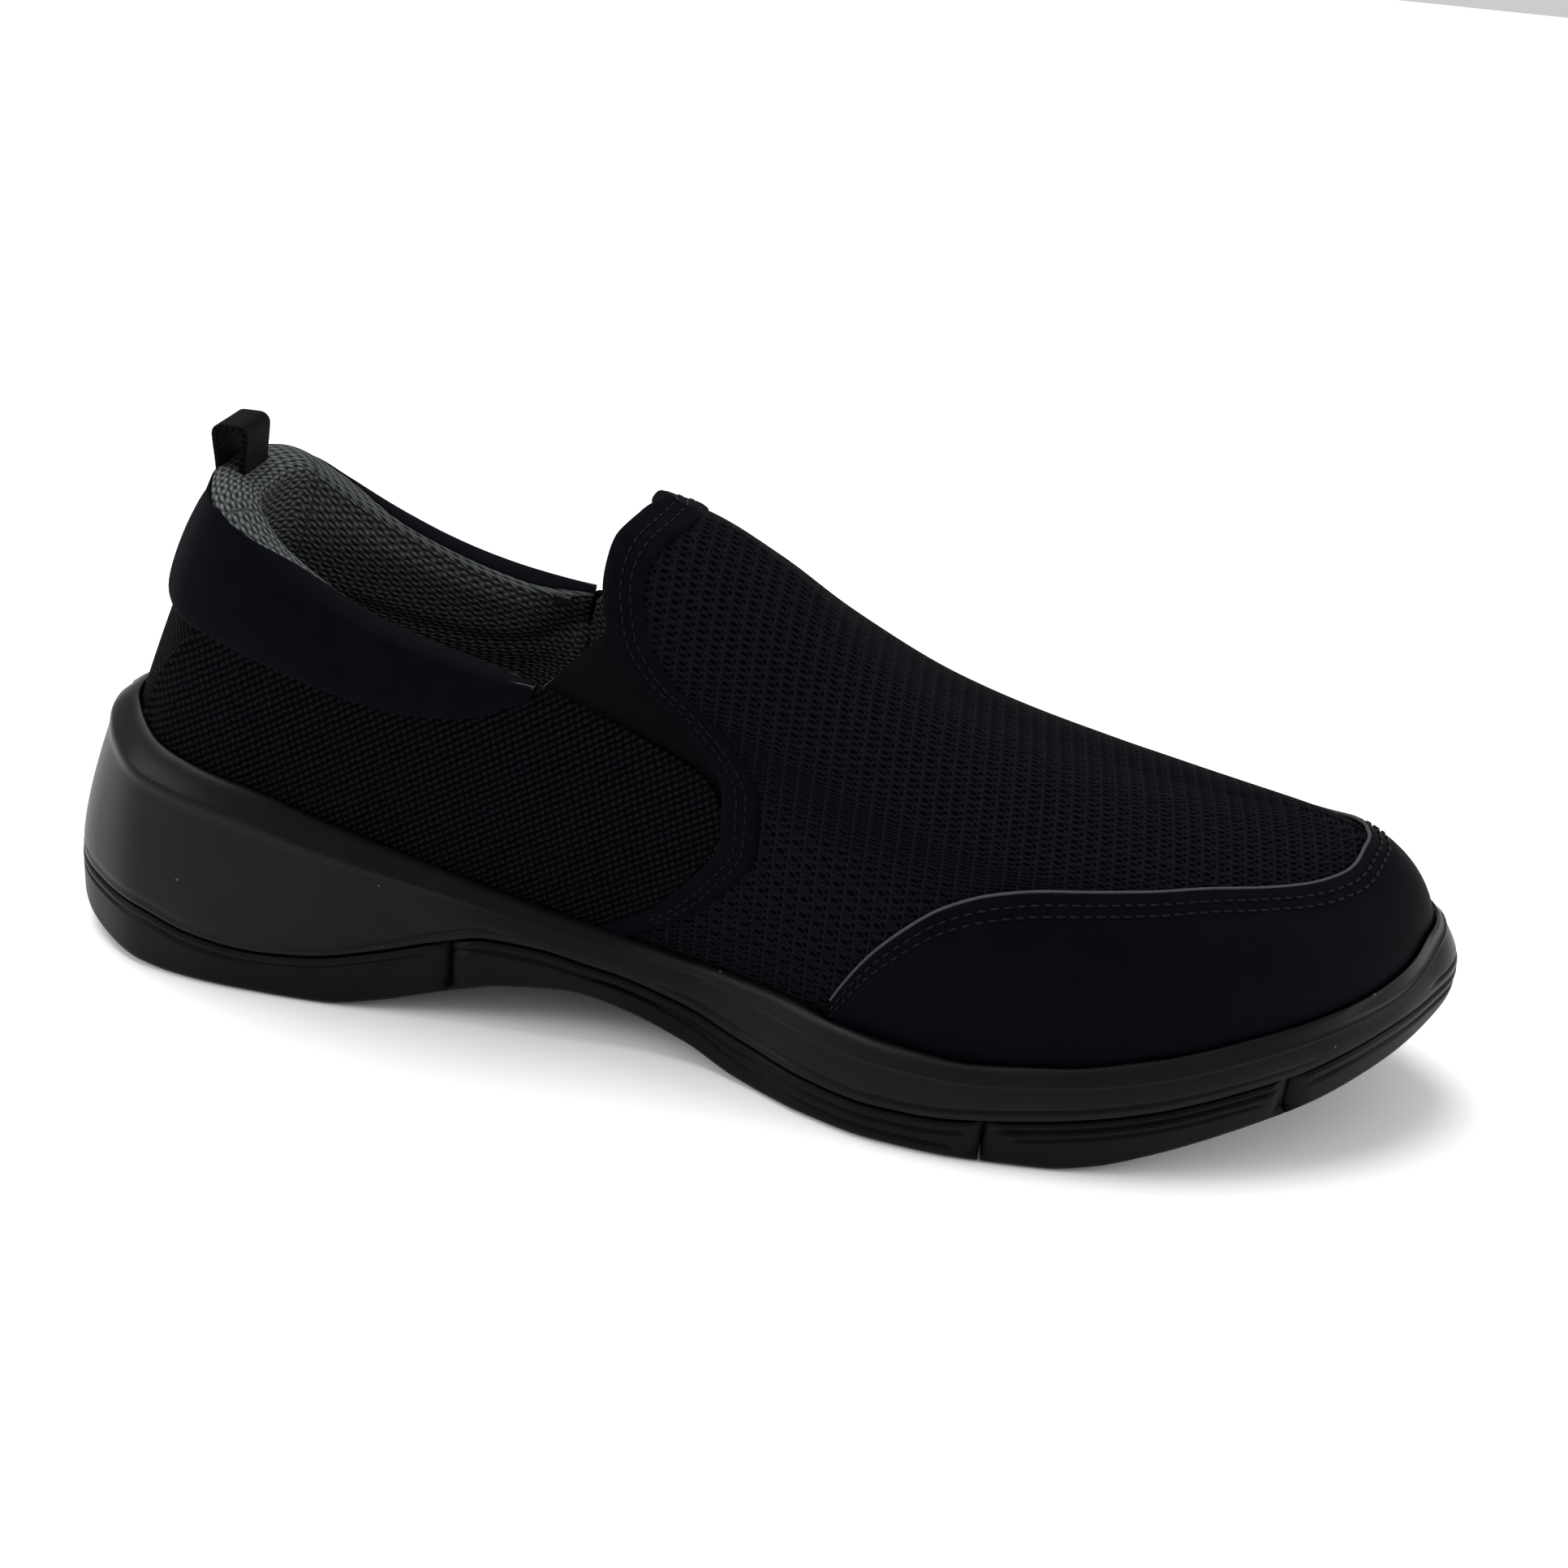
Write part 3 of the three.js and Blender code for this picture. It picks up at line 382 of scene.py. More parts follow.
WALL_DEPTH = RUBBER + GAP
STATIONS = 180
LIP_ROUND = 1.2
UPPER_CLEARANCE = 0.35
WALL_LINE_RISE = 2.1
WALL_LINE_DEPTH = 0.55
FOOT_ROUND = 1.2


def midsole_rings():
    """Rings of the midsole, from the middle of its bed over the lip and round to the middle underneath."""
    t, side, u = ring(STATIONS)
    x = sole_x(t)
    lip, lean, parting = lip_height(t), lip_inset(t), parting_height(x) + GAP
    ground = ground_height(x, side)
    # The toe cap lies between the wall and the mesh, so the wall stands further out there.
    capped = smooth(162, 172, x)
    clear = lerp(UPPER_CLEARANCE, OVER + GAP, capped)
    outer_edge = sole_point(t, side, lean, lip - LIP_ROUND)
    flat_top = layer(u, rise_at(u, lip), clear)
    shelf = np.linalg.norm(flat_top[:, :2] - outer_edge[:, :2], axis=1)
    upper_edge = lip - 0.4 + 0.42 * np.maximum(shelf - 1.5, 0)
    inside = [layer(u, rise_at(u, z), clear) for z in (upper_edge, lerp(lip, bed_height(feather_x(t)), 0.4))]
    edge = layer(u, 0, clear)
    edge[:, 2] = bed_height(feather_x(t))
    centre = edge.copy()
    centre[:, :2] = (edge[:, :2] + edge[::-1, :2]) / 2
    rings = [centre, lerp(centre, edge, 0.5), edge, *inside[::-1]]
    top = inside[0].copy()
    # The rolled lip: from the upper round to the outer wall.
    for share in (0.12, 0.25, 0.4, 0.55, 0.7, 0.85):
        point = lerp(top, outer_edge, share)
        point[:, 2] = lerp(outer_edge[:, 2], upper_edge + 0.1, math.cos(share * math.pi / 2) ** 0.8)
        rings.append(point)
    # The wall leans in towards the lip, and carries one soft moulded line below it.
    line = parting + WALL_LINE_RISE
    line_depth = WALL_LINE_DEPTH * smooth(0, 1.5, lip - 5 - line)
    for w in np.linspace(1, 0, 44):
        z = lerp(parting + 0.4, lip - LIP_ROUND, w)
        inset = lerp(0.2, lean, w**1.45) - 0.5 * np.exp(-((w - 0.96) / 0.05) ** 2)
        inset = inset + line_depth * np.exp(-(((z - line) / 0.32) ** 2))
        rings.append(sole_point(t, side, inset, z))
    rings.append(sole_point(t, side, 0.5, parting + 0.1))
    rings.append(sole_point(t, side, WALL_DEPTH, parting))
    low = np.minimum(ground + WALL_DEPTH + 1.4, parting - 0.5)
    rings.append(sole_point(t, side, WALL_DEPTH, low))
    corner = sole_point(t, side, WALL_DEPTH + FOOT_ROUND, ground + WALL_DEPTH)
    rings.append(corner)
    middle = (corner + corner[::-1]) / 2
    rings.append(lerp(corner, middle, 0.5))
    rings.append(middle)
    return np.array(rings)


def lengths(points):
    """Each grid point's distance along its column and along its row, in millimetres."""
    along = np.linalg.norm(np.diff(points, axis=1), axis=-1)
    up_steps = np.linalg.norm(np.diff(points, axis=0), axis=-1)
    along = np.concatenate([np.zeros((points.shape[0], 1)), np.cumsum(along, axis=1)], axis=1)
    up_steps = np.concatenate([np.zeros((1, points.shape[1])), np.cumsum(up_steps, axis=0)], axis=0)
    return np.stack([along, up_steps], axis=-1)


def grid_piece(name, points, pattern=None, outside=None):
    """A mesh grid shaped to points, with pattern, in millimetres, as its UV map. outside holds points just
    off its outer face, which says which way the faces turn."""
    if pattern is None:
        pattern = lengths(points)
    rows, columns = points.shape[0] - 1, points.shape[1] - 1
    if outside is not None:
        i, j = rows // 2, columns // 2
        turned = np.cross(points[i, j + 1] - points[i, j], points[i + 1, j] - points[i, j])
        if np.dot(turned, outside[i, j] - points[i, j]) < 0:
            points, pattern = points[:, ::-1], pattern[:, ::-1]
    bpy.ops.object.select_all(action="DESELECT")
    bpy.ops.mesh.primitive_grid_add(x_subdivisions=columns, y_subdivisions=rows, size=1)
    piece = bpy.context.object
    piece.name = name
    piece.data.name = name
    place = (np.ascontiguousarray(points) + SHIFT) / 1000
    piece.data.vertices.foreach_set("co", place.reshape(-1).astype(np.float32))
    corner = np.zeros(len(piece.data.loops), np.int32)
    piece.data.loops.foreach_get("vertex_index", corner)
    uv = np.ascontiguousarray(pattern).reshape(-1, 2)[corner]
    piece.data.uv_layers[0].data.foreach_set("uv", uv.reshape(-1).astype(np.float32))
    piece.data.update()
    return piece


def in_edit(piece, *steps):
    """Runs mesh operators on the whole of piece."""
    bpy.ops.object.select_all(action="DESELECT")
    bpy.context.view_layer.objects.active = piece
    piece.select_set(True)
    bpy.ops.object.mode_set(mode="EDIT")
    bpy.ops.mesh.select_all(action="SELECT")
    for step in steps:
        step()
    bpy.ops.object.mode_set(mode="OBJECT")


def weld(piece):
    """Merges points that lie together, such as those where a grid closes on itself."""
    in_edit(piece, lambda: bpy.ops.mesh.remove_doubles(threshold=0.00002))


def face_out(piece):
    """Turns the faces of a closed piece outwards."""
    in_edit(piece, lambda: bpy.ops.mesh.normals_make_consistent(inside=False))


def dress(piece, material, slot, body, *nodes):
    """Smooth shading, finish, the CAD nodes it stands for and the body it rides on. The slot argument is not
    used.
    """
    piece.data.shade_smooth()
    piece.data.materials.clear()
    piece.data.materials.append(material)
    if nodes:
        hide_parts(*nodes)
    if body == "flex":
        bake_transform(piece)
    else:
        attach(piece, body)


midsole = grid_piece("midsole_shell", midsole_rings())
weld(midsole)
face_out(midsole)
dress(midsole, eva, "foam", "flex", "midsole")

# ---- Outsole pods ----
# Compression-moulded rubber, cemented over the foot of the midsole: a heel pod, two arch rails, two
# forefoot pods and a toe bumper. Moulded lines run along their walls, and their soles are plain.
rubber, rubber_shader = finish("moulded_rubber", 0.42, Specular_IOR_Level=0.07)
# Matt carbon rubber: dark, even and a little duller than the foam.
tint(rubber, rubber_shader, two_tone(rubber, noise(rubber, 9), "#060709", "#0a0b0e", 0.3, 0.7))
emboss(rubber, rubber_shader, noise(rubber, 0.6), 0.06, 0.6)

HEEL_POD_END = 88.0
RAIL = (88.5, 201.0)
FOREFOOT_POD = (201.6, 260.2)
TOE_POD_START = 260.8
POD_REACH = 24.0
FLEX_CHANNEL = 8.0
SOLE_ROUND = 1.4


def pod_wall(t, side, depth, lines, steps=60):
    """The pod's section on one side, from its upper edge to the edge of its underside."""
    x = sole_x(t)
    ground = ground_height(x, side)
    top = np.maximum(parting_height(x) - GAP, ground + RUBBER + 0.8)
    turn = np.minimum(ground + depth + SOLE_ROUND, top - 0.2)
    outer = depth == 0
    rows = []
    for w in np.linspace(0, 1, steps if outer else 4):
        z = lerp(top, turn, w)
        inset = np.full_like(t, depth)
        if outer:
            # The upper edge is eased, and the moulded lines are cut in.
            inset = inset + 0.35 * (1 - smooth(0, 0.6, top - z))
            for line in lines:
                inset = inset + line(x, z, top, ground)
        rows.append(sole_point(t, side, inset, z))
    for angle in np.linspace(0.25, 1, 4) * math.pi / 2:
        inset = depth + FOOT_ROUND * (1 - math.cos(angle))
        z = lerp(turn, ground + depth, math.sin(angle))
        rows.append(sole_point(t, side, inset, z))
    return np.array(rows)


def drawn_end(outer, inner):
    """The ring of points midway between the two skins at one end of a pod."""
    near = inner[np.round(np.linspace(0, len(inner) - 1, len(outer))).astype(int)]
    far = outer[np.round(np.linspace(0, len(outer) - 1, len(inner))).astype(int)]
    half = np.concatenate([(outer + near) / 2, ((inner + far) / 2)[::-1]])
    return np.concatenate([half, half[:1]])[:, None]


def joined_pod(name, node, outer, inner):
    """A pod from its outer and its inner skin, both rows of points along it, drawn together at its ends."""
    loop = np.concatenate([outer, inner[::-1], outer[:1]])
    rear, front = (drawn_end(outer[:, station], inner[:, station]) for station in (0, -1))
    pod = grid_piece(name, np.concatenate([rear, loop, front], axis=1))
    weld(pod)
    face_out(pod)
    dress(pod, rubber, "rubber", "flex", node)


def groove(height, depth, width, start, end):
    """A moulded line along a pod's wall: its height over x and the ground, and where it runs."""
    def line(x, z, top, ground):
        runs = smooth(start, start + 3, x) * (1 - smooth(end - 3, end, x))
        return depth * runs * np.exp(-(((z - height(x, top, ground)) / width) ** 2))

    return line


def rounded_end(end):
    """Turns the pod's wall in towards its end, so that a soft notch lies between two pods."""
    return lambda x, z, top, ground: 1.3 * (1 - smooth(0, 3.4, np.abs(x - end)))


def full_pod(name, node, start, end, lines, stations):
    """A pod right across the sole."""
    t = np.linspace(sole_share(start), sole_share(end), stations)
    skins = []
    for depth in (0.0, RUBBER):
        medial = pod_wall(t, MEDIAL, depth, lines)
        lateral = pod_wall(t, LATERAL, depth, lines)[::-1]
        across = [lerp(medial[-1], lateral[0], k / 3) for k in (1, 2)]
        skins.append(np.concatenate([medial, across, lateral]))
    joined_pod(name, node, *skins)


def side_pod(name, node, side, start, end, reach, lines, stations):
    """A pod along one side, reaching in under the foot."""
    t = np.linspace(sole_share(start), sole_share(end), stations)
    skins = []
    for depth in (0.0, RUBBER):
        wall = pod_wall(t, side, depth, lines)
        far_wall = pod_wall(t, -side, depth, lines)[-1]
        share = reach(t, side)[:, None]
        inner = lerp(wall[-1], far_wall, share)
        skins.append(np.concatenate([wall, [lerp(wall[-1], inner, 0.5), inner]]))
    joined_pod(name, node, *skins)


def sole_width(t):
    """Width of the sole at a share along it."""
    return sole_y(t, LATERAL) - sole_y(t, MEDIAL)


rail_lines = [
    groove(lambda x, top, ground: top - 2.2, 0.6, 0.4, 84, 199),
    groove(lambda x, top, ground: lerp(top - 2.2, ground + 2.6, smooth(118, 178, x)), 0.6, 0.4, 118, 197),
    *map(rounded_end, RAIL),
]
forefoot_lines = [
    groove(lambda x, top, ground: top - 1.6, 0.9, 0.5, 203, 259),
    groove(lambda x, top, ground: top - 3.6, 0.5, 0.35, 206, 256),
    *map(rounded_end, FOREFOOT_POD),
]
heel_lines = [groove(lambda x, top, ground: top - 2.0, 0.55, 0.4, -20, 84), rounded_end(HEEL_POD_END)]
toe_lines = [groove(lambda x, top, ground: top - 2.4, 0.6, 0.45, 263, 320), rounded_end(TOE_POD_START)]
full_pod("heel_pod", "outsole_heel", -4, HEEL_POD_END, heel_lines, 70)
full_pod("toe_bumper", "outsole_toe", TOE_POD_START, TOE_TIP, toe_lines, 50)
for side, word in SIDES:
    side_pod(f"arch_rail_{word}", f"outsole_arch_rail_{word}", side, *RAIL,
             lambda t, s: POD_REACH / sole_width(t), rail_lines, 110)
    side_pod(f"forefoot_pod_{word}", f"outsole_forefoot_{word}", side, *FOREFOOT_POD,
             lambda t, s: (np.abs(sole_y(t, s)) - FLEX_CHANNEL / 2) / sole_width(t), forefoot_lines, 60)

# ---- Strobel board and sock liner ----
# A felt insole board, which the upper is stitched to all round, lies on the midsole's bed. On it lies a
# moulded foam sock liner with a raised edge, covered in dark knit.
board, board_shader = finish("strobel_board", 0.9)
# Pressed non-woven felt: dull and slightly fibrous.
tint(board, board_shader, two_tone(board, noise(board, 1.2), "#7d7a70", "#989488"))
emboss(board, board_shader, noise(board, 0.5), 0.1)


SOCK = 4.0


def modify(piece, kind, **settings):
    """Applies one modifier."""
    bpy.ops.object.select_all(action="DESELECT")
    bpy.context.view_layer.objects.active = piece
    piece.select_set(True)
    modifier = piece.modifiers.new(kind, kind)
    for key, value in settings.items():
        setattr(modifier, key, value)
    bpy.ops.object.modifier_apply(modifier=modifier.name)


def soften(piece, edge):
    """Rounds the cut edges of a sheet by edge millimetres."""
    modify(piece, "BEVEL", width=edge / 1000, segments=2, limit_method="ANGLE",
           angle_limit=math.radians(50))


def thicken(piece, thickness, edge=0.0):
    """Gives a sheet its thickness inwards, and rounds its cut edge by edge millimetres."""
    modify(piece, "SOLIDIFY", thickness=thickness / 1000, offset=-1, use_even_offset=False)
    if edge:
        soften(piece, edge)


def bed_piece(name, inset, height, thickness, rise, stations=90):
    """A sheet within the feather line, with its edge raised by rise."""
    t = np.linspace(0, 1, stations + 1)[:, None]
    rim_medial = layer(-t[:, 0], 0, -inset)
    rim_lateral = layer(t[:, 0], 0, -inset)
    share = (1 - np.cos(math.pi * np.linspace(0, 1, 25)[None, :])) / 2
    points = lerp(rim_medial[:, None], rim_lateral[:, None], share[..., None])
    edge = np.abs(2 * share - 1)
    points[..., 2] = height(feather_x(t)) + rise * edge**4
    sheet = grid_piece(name, points, outside=points + [0, 0, 1])
    thicken(sheet, thickness)
    weld(sheet)
    return sheet


strobel = bed_piece("insole_board", 0.3, lambda x: bed_height(x) + GAP + BOARD, BOARD, 0)
dress(strobel, board, "board", "flex", "strobel_board")
sock_cloth, sock_shader = finish("sock_liner_knit", 0.95, Specular_IOR_Level=0.03)
# Close dark jersey, 0.9 mm loops.
sock_uv = add(sock_cloth, "ShaderNodeTexCoord").outputs["UV"]
sock_loops = combine(sock_cloth, "MULTIPLY", stripes(sock_cloth, sock_uv, 0.9),
                     stripes(sock_cloth, sock_uv, 1.1, math.pi / 2))
tint(sock_cloth, sock_shader, two_tone(sock_cloth, sock_loops, "#0d0e11", "#1d1f23"))
emboss(sock_cloth, sock_shader, sock_loops, 0.2)
sock = bed_piece("sock_liner_foam", 7.6, lambda x: foot_height(x) + SOCK - 1.0, SOCK - 1.4, 1.0)
dress(sock, sock_cloth, "sock", "flex", "sock_liner")

# ---- Quarters and heel strip ----
# Knitted mesh over the rear half of the shoe. Both quarters are sewn to a strip behind the heel with their
# edge turned under, and they run up under the collar panel and forward to the throat band.
knit, knit_shader = finish("quarter_knit_mesh", 0.85, Specular_IOR_Level=0.015)
# Slanting rows of short loops with dark holes between them: rows 1.35 mm apart, loops 1.5 mm long.
knit_uv = add(knit, "ShaderNodeTexCoord").outputs["UV"]
knit_rows = stripes(knit, knit_uv, 1.35, math.radians(58), 1.6)
knit_loops = stripes(knit, knit_uv, 1.5, math.radians(-12), 1.6)
knit_height = combine(knit, "MULTIPLY", knit_rows, combine(knit, "ADD", knit_loops, 0.3))
tint(knit, knit_shader, two_tone(knit, knit_height, "#020203", "#141519", 0.1, 0.9))
emboss(knit, knit_shader, knit_height, 0.45)

topline = through(
    [[28, 105.2], [33, 104], [37, 101.8], [41, 98.8], [45, 95.6], [49, 92.9], [54, 89.8], [60, 86.6],
     [68, 83], [78, 79.6], [90, 76.8], [105, 74.8]])
collar_seam = through(
    [[18, 77.5], [33, 76], [43, 73.8], [54, 70.8], [67, 67.6], [78, 66.2], [88, 67], [95, 69.6],
     [105, 73.8]])
MESH = 1.6
SEAM_MARGIN = 3.0
SEAM_GAP = 0.7
SEAM_RIDGE = 0.7
throat_curve = through(
    [[12, 110], [23, 117], [30, 128], [39, 136.5], [50, 142.5], [60, 142], [67, 137.5], [74, 129.5],
     [80, 121.5], [88, 116], [98, 114], [104, 114.6], [108, 117.5], [109.5, 122]])
HEEL_SEAM = [[9.5, 36], [13, 46], [15.5, 54], [20, 63], [26.5, 72],
             [34, float(collar_seam(34)) + SEAM_MARGIN]]


def bisect(test, low, high):
    """The value between low and high, arrays, up to which test holds."""
    low, high = np.array(low, float), np.array(high, float)
    for _ in range(30):
        middle = (low + high) / 2
        holds = test(middle)
        low, high = np.where(holds, middle, low), np.where(holds, high, middle)
    return low


def on_form(side, x, z):
    """[u, v] of the side view's points (x, z) on one side."""
    x, z = np.broadcast_arrays(np.asarray(x, float), np.asarray(z, float))

    def behind(m):
        return form(side * m, rise_at(side * m, z))[..., 0] < x

    t = bisect(behind, np.zeros(x.shape), np.ones(x.shape))
    return np.stack([side * t, rise_at(side * t, z)], axis=-1)


def rise_under(u, curve):
    """Rise at which ring share u crosses the height curve z(x)."""
    u = np.asarray(u, float)

    def below(v):
        point = form(u, v)
        return point[..., 2] < curve(point[..., 0])

    return bisect(below, np.zeros(u.shape), np.ones(u.shape))


def seam(side, points):
    """A line drawn in the side view, as a function from 0 to 1 to [u, v]."""
    points = np.array(points, float)
    ends = np.concatenate([points[:1], points, points[-1:]])

    def line(s):
        place = np.clip(np.asarray(s, float), 0, 1) * (len(points) - 1)
        i = np.minimum(place.astype(int), len(points) - 2)
        w = (place - i)[..., None]
        a, b, c, d = ends[i], ends[i + 1], ends[i + 2], ends[i + 3]
        # The first and last stretches run on as they start.
        a = np.where((i == 0)[..., None], b, a)
        d = np.where((i == len(points) - 2)[..., None], c, d)
        first, second = (c - a) / 2, (d - b) / 2
        p = ((2 * b - 2 * c + first + second) * w**3 + (3 * c - 3 * b - 2 * first - second) * w**2
             + first * w + b)
        return on_form(side, p[..., 0], p[..., 1])

    return line


def straight(start, end):
    """A straight line from one [u, v] to another, as a function from 0 to 1."""
    return lambda s: lerp(start, end, np.asarray(s)[..., None])


def spread(rows, columns):
    """Shares along the columns and up the rows of a grid."""
    return np.meshgrid(np.linspace(0, 1, columns + 1), np.linspace(0, 1, rows + 1))


def patch(bottom, top, rear, front, rows, columns):
    """[u, v] of a grid within four lines, each a function from 0 to 1 to [u, v]."""
    s, r = spread(rows, columns)
    s1, r1 = s[..., None], r[..., None]
    corners = [np.asarray(line(np.float64(end))) for line in (bottom, top) for end in (0, 1)]
    flat = lerp(lerp(corners[0], corners[1], s1), lerp(corners[2], corners[3], s1), r1)
    return lerp(bottom(s), top(s), r1) + lerp(rear(r), front(r), s1) - flat


def on_seam(x):
    """A side view point on the quarters' upper edge, under the collar panel."""
    return [x, float(collar_seam(x)) + SEAM_MARGIN]


def along_throat(heights, behind):
    """Side view points at these heights, behind the throat's edge."""
    return [[float(throat_curve(z)) - behind, z] for z in heights]


def cloth_panel(name, places, offset, thickness, edge, pattern=None):
    """A sheet at [u, v] places, offset from the last, thickened inwards."""
    u, v = places[..., 0], places[..., 1]
    points = layer(u, v, offset)
    sheet = grid_piece(name, points, pattern, outside=layer(u, v, np.asarray(offset) + 1))
    thicken(sheet, thickness, edge)
    return sheet


def side_view_pattern(points):
    """Pattern coordinates of a panel that stands nearly upright: x and z."""
    return np.stack([points[..., 0], points[..., 2]], axis=-1)


for side, word in SIDES:
    top = seam(side, [on_seam(34.7), *[on_seam(x) for x in (46, 57, 68, 79, 88, 95)],
                      [101.5, 74.6], [104.5, 75], [115, 71.5], [127, 67], [137.5, 62.5]])
    rear = seam(side, [*[[x + SEAM_GAP, z] for x, z in HEEL_SEAM[:-1]], on_seam(34.7)])
    front = seam(side, [[106, 20], *along_throat((24, 30, 39, 50, 57), 0.8), [137.5, 62.5]])
    bottom = straight(rear(np.float64(0)), front(np.float64(0)))
    places = patch(bottom, top, rear, front, 70, 90)
    points = layer(places[..., 0], places[..., 1], 0)
    # The rear edge is turned under and stands up as a low ridge.
    from_rear = lengths(points)[..., 0]
    raised = SEAM_RIDGE * np.exp(-(((from_rear - 1.2) / 1.1) ** 2))
    quarter = cloth_panel(f"quarter_mesh_{word}", places, raised, MESH, 0.3, side_view_pattern(points))
    dress(quarter, knit, "mesh", "shoe", f"quarter_{word}")

# The strip behind the heel runs on under both quarters.
STRIP_UNDER = 2.0
strip_seam = [[x + STRIP_UNDER, z] for x, z in HEEL_SEAM]
strip_medial = seam(MEDIAL, strip_seam)
strip_lateral = seam(LATERAL, strip_seam)


def strip_top(s):
    """The strip's upper edge, under the collar panel."""
    u = lerp(strip_medial(np.float64(1))[0], strip_lateral(np.float64(1))[0], np.asarray(s))
    return np.stack([u, rise_under(u, lambda x: collar_seam(x) + SEAM_MARGIN)], axis=-1)


strip_bottom = straight(strip_medial(np.float64(0)), strip_lateral(np.float64(0)))
heel_places = patch(strip_bottom, strip_top, strip_medial, strip_lateral, 50, 60)
heel_strip = cloth_panel("heel_strip", heel_places, -0.35, 1.2, 0.3)
dress(heel_strip, knit, "mesh", "shoe", "heel_panel")

# ---- Collar ----
# A puffy nubuck panel outside, foam, and a spacer-knit lining that rolls out over the rim and down to the
# insole. The lining shows as a fat grey roll behind the heel and a thin piping towards the front.
nubuck, nubuck_shader = finish("black_nubuck", 0.88, Specular_IOR_Level=0.015, Sheen_Weight=0.005,
                               Sheen_Roughness=0.5)
# Brushed microfibre nubuck: no highlight, a soft sheen and a faint cloudy nap.
tint(nubuck, nubuck_shader, two_tone(nubuck, noise(nubuck, 5, 6), "#06070b", "#090a0f", 0.25, 0.75))
emboss(nubuck, nubuck_shader, noise(nubuck, 0.35), 0.12, 0.8)
spacer, spacer_shader = finish("grey_spacer_knit", 0.9, Specular_IOR_Level=0.05)
# Grey spacer knit: round cells 1.5 mm across in staggered rows, dark between them.
spacer_uv = add(spacer, "ShaderNodeTexCoord").outputs["UV"]
spacer_cells = combine(spacer, "MULTIPLY", stripes(spacer, spacer_uv, 1.45, math.radians(60)),
                       stripes(spacer, spacer_uv, 1.45, math.radians(-60)))
spacer_rows = stripes(spacer, spacer_uv, 1.3, math.pi / 2)
spacer_height = combine(spacer, "ADD", combine(spacer, "MULTIPLY", spacer_cells, 0.8),
                        combine(spacer, "MULTIPLY", spacer_rows, 0.3))
tint(spacer, spacer_shader, two_tone(spacer, spacer_height, "#191b1c", "#686c6b", 0.05, 0.75))
emboss(spacer, spacer_shader, spacer_height, 0.35)

STIFFENER = 1.2
LINING = 1.1
COLLAR_PADDING = 7.0
INSIDE = -MESH - LAYER_GAP - STIFFENER - LAYER_GAP
COLLAR_FRONT = 103.5
COLLAR_TAPER = 16.0
RIM_RISE = 2.6
COLLAR_STATIONS = 170
collar_end = float(abs(on_form(MEDIAL, 102, 74.6)[0]))
around = np.linspace(-collar_end, collar_end, COLLAR_STATIONS)
rim = rise_under(around, topline)
rim_point = form(around, rim)
rim_x = rim_point[:, 0]
# The foam thins out towards the collar's front ends.
pad = smooth(0, COLLAR_TAPER, COLLAR_FRONT - rim_x)
outer_face = OVER - 0.1
inner_face = lerp(-3.4, -COLLAR_PADDING - LAYER_GAP - LINING, pad)


def rim_section(angle, lift=0.0):
    """A point of the padded rim: angle 0 is its outer face, half a turn its inner face."""
    middle, half = (outer_face + inner_face) / 2, (outer_face - inner_face) / 2
    rise = lerp(RIM_RISE, 1.6, smooth(40, 90, rim_x)) * lerp(0.4, 1, pad)
    return layer(around, rim, middle + (half + lift) * np.cos(angle), (rise + lift) * np.sin(angle) ** 0.8)


# Behind the heel the grey roll shows from low on the outer face; towards the front the nubuck climbs over
# the rim and leaves a thin grey edge.
nubuck_edge = np.radians(lerp(-38, 128, smooth(26, 62, rim_x)))


def collar_panel_points(lift):
    """Rows of the nubuck panel, from its lower seam up over the foam to its edge on the rim."""
    low = rise_under(around, collar_seam)
    low_z = form(around, low)[:, 2]
    tall = (rim_point[:, 2] - low_z).clip(0.5)
    # Where the edge lies below the rim, its angle stands for a height on the outer face.
    below = np.where(nubuck_edge < 0, -nubuck_edge * 9, 0)
    high = low + (rim - low) * (1 - np.minimum(below / tall, 0.6))
    rows = []
    for w in np.linspace(0, 1, 40):
        puff = np.minimum(1.0, 0.05 * tall) * np.sin(math.pi * w) ** 0.7
        edge_in = 1 - np.exp(-w * tall / 1.6)
        rows.append(layer(around, lerp(low, high, w), 0.2 + (outer_face - 0.2) * edge_in + puff + lift))
    for w in np.linspace(0, 1, 14)[1:]:
        angle = np.maximum(nubuck_edge, 0) * w
        rows.append(rim_section(angle, lift))
    return np.array(rows)


collar_panel = grid_piece("collar_panel_nubuck", collar_panel_points(0), outside=collar_panel_points(1))
thicken(collar_panel, OVERLAY)
weld(collar_panel)
dress(collar_panel, nubuck, "suede", "shoe", "collar_panel")


def lining_section(lift):
    """Rows of the lining, from under the panel's top edge over the rim and down inside to the insole."""
    rows = []
    outer_low = rim * (1 - 0.09 * (nubuck_edge < 0.2))
    for w in np.linspace(0, 1, 8):
        tuck = 0.9 * (1 - w) ** 2
        rows.append(layer(around, lerp(outer_low, rim, w), outer_face - 0.5 - tuck + lift))
    for angle in np.linspace(0, math.pi, 25)[1:]:
        rows.append(rim_section(np.full(around.shape, angle), lift - 0.5 * math.cos(angle / 2)))
    for w in np.linspace(0, 1, 60)[1:]:
        v = rim * (1 - w)
        under = collar_seam(form(around, v)[:, 0]) - form(around, v)[:, 2]
        sunk = smooth(0, 12, under)
        bulge = 1.4 * np.exp(-(((under + 12) / 8) ** 2)) * smooth(0, 0.1, w)
        crease = 0.9 * np.exp(-(((under - 3) / 2.2) ** 2))
        offset = lerp(inner_face - bulge, INSIDE - LINING, sunk) + crease
        rows.append(layer(around, v, offset - lift))
    return np.array(rows)


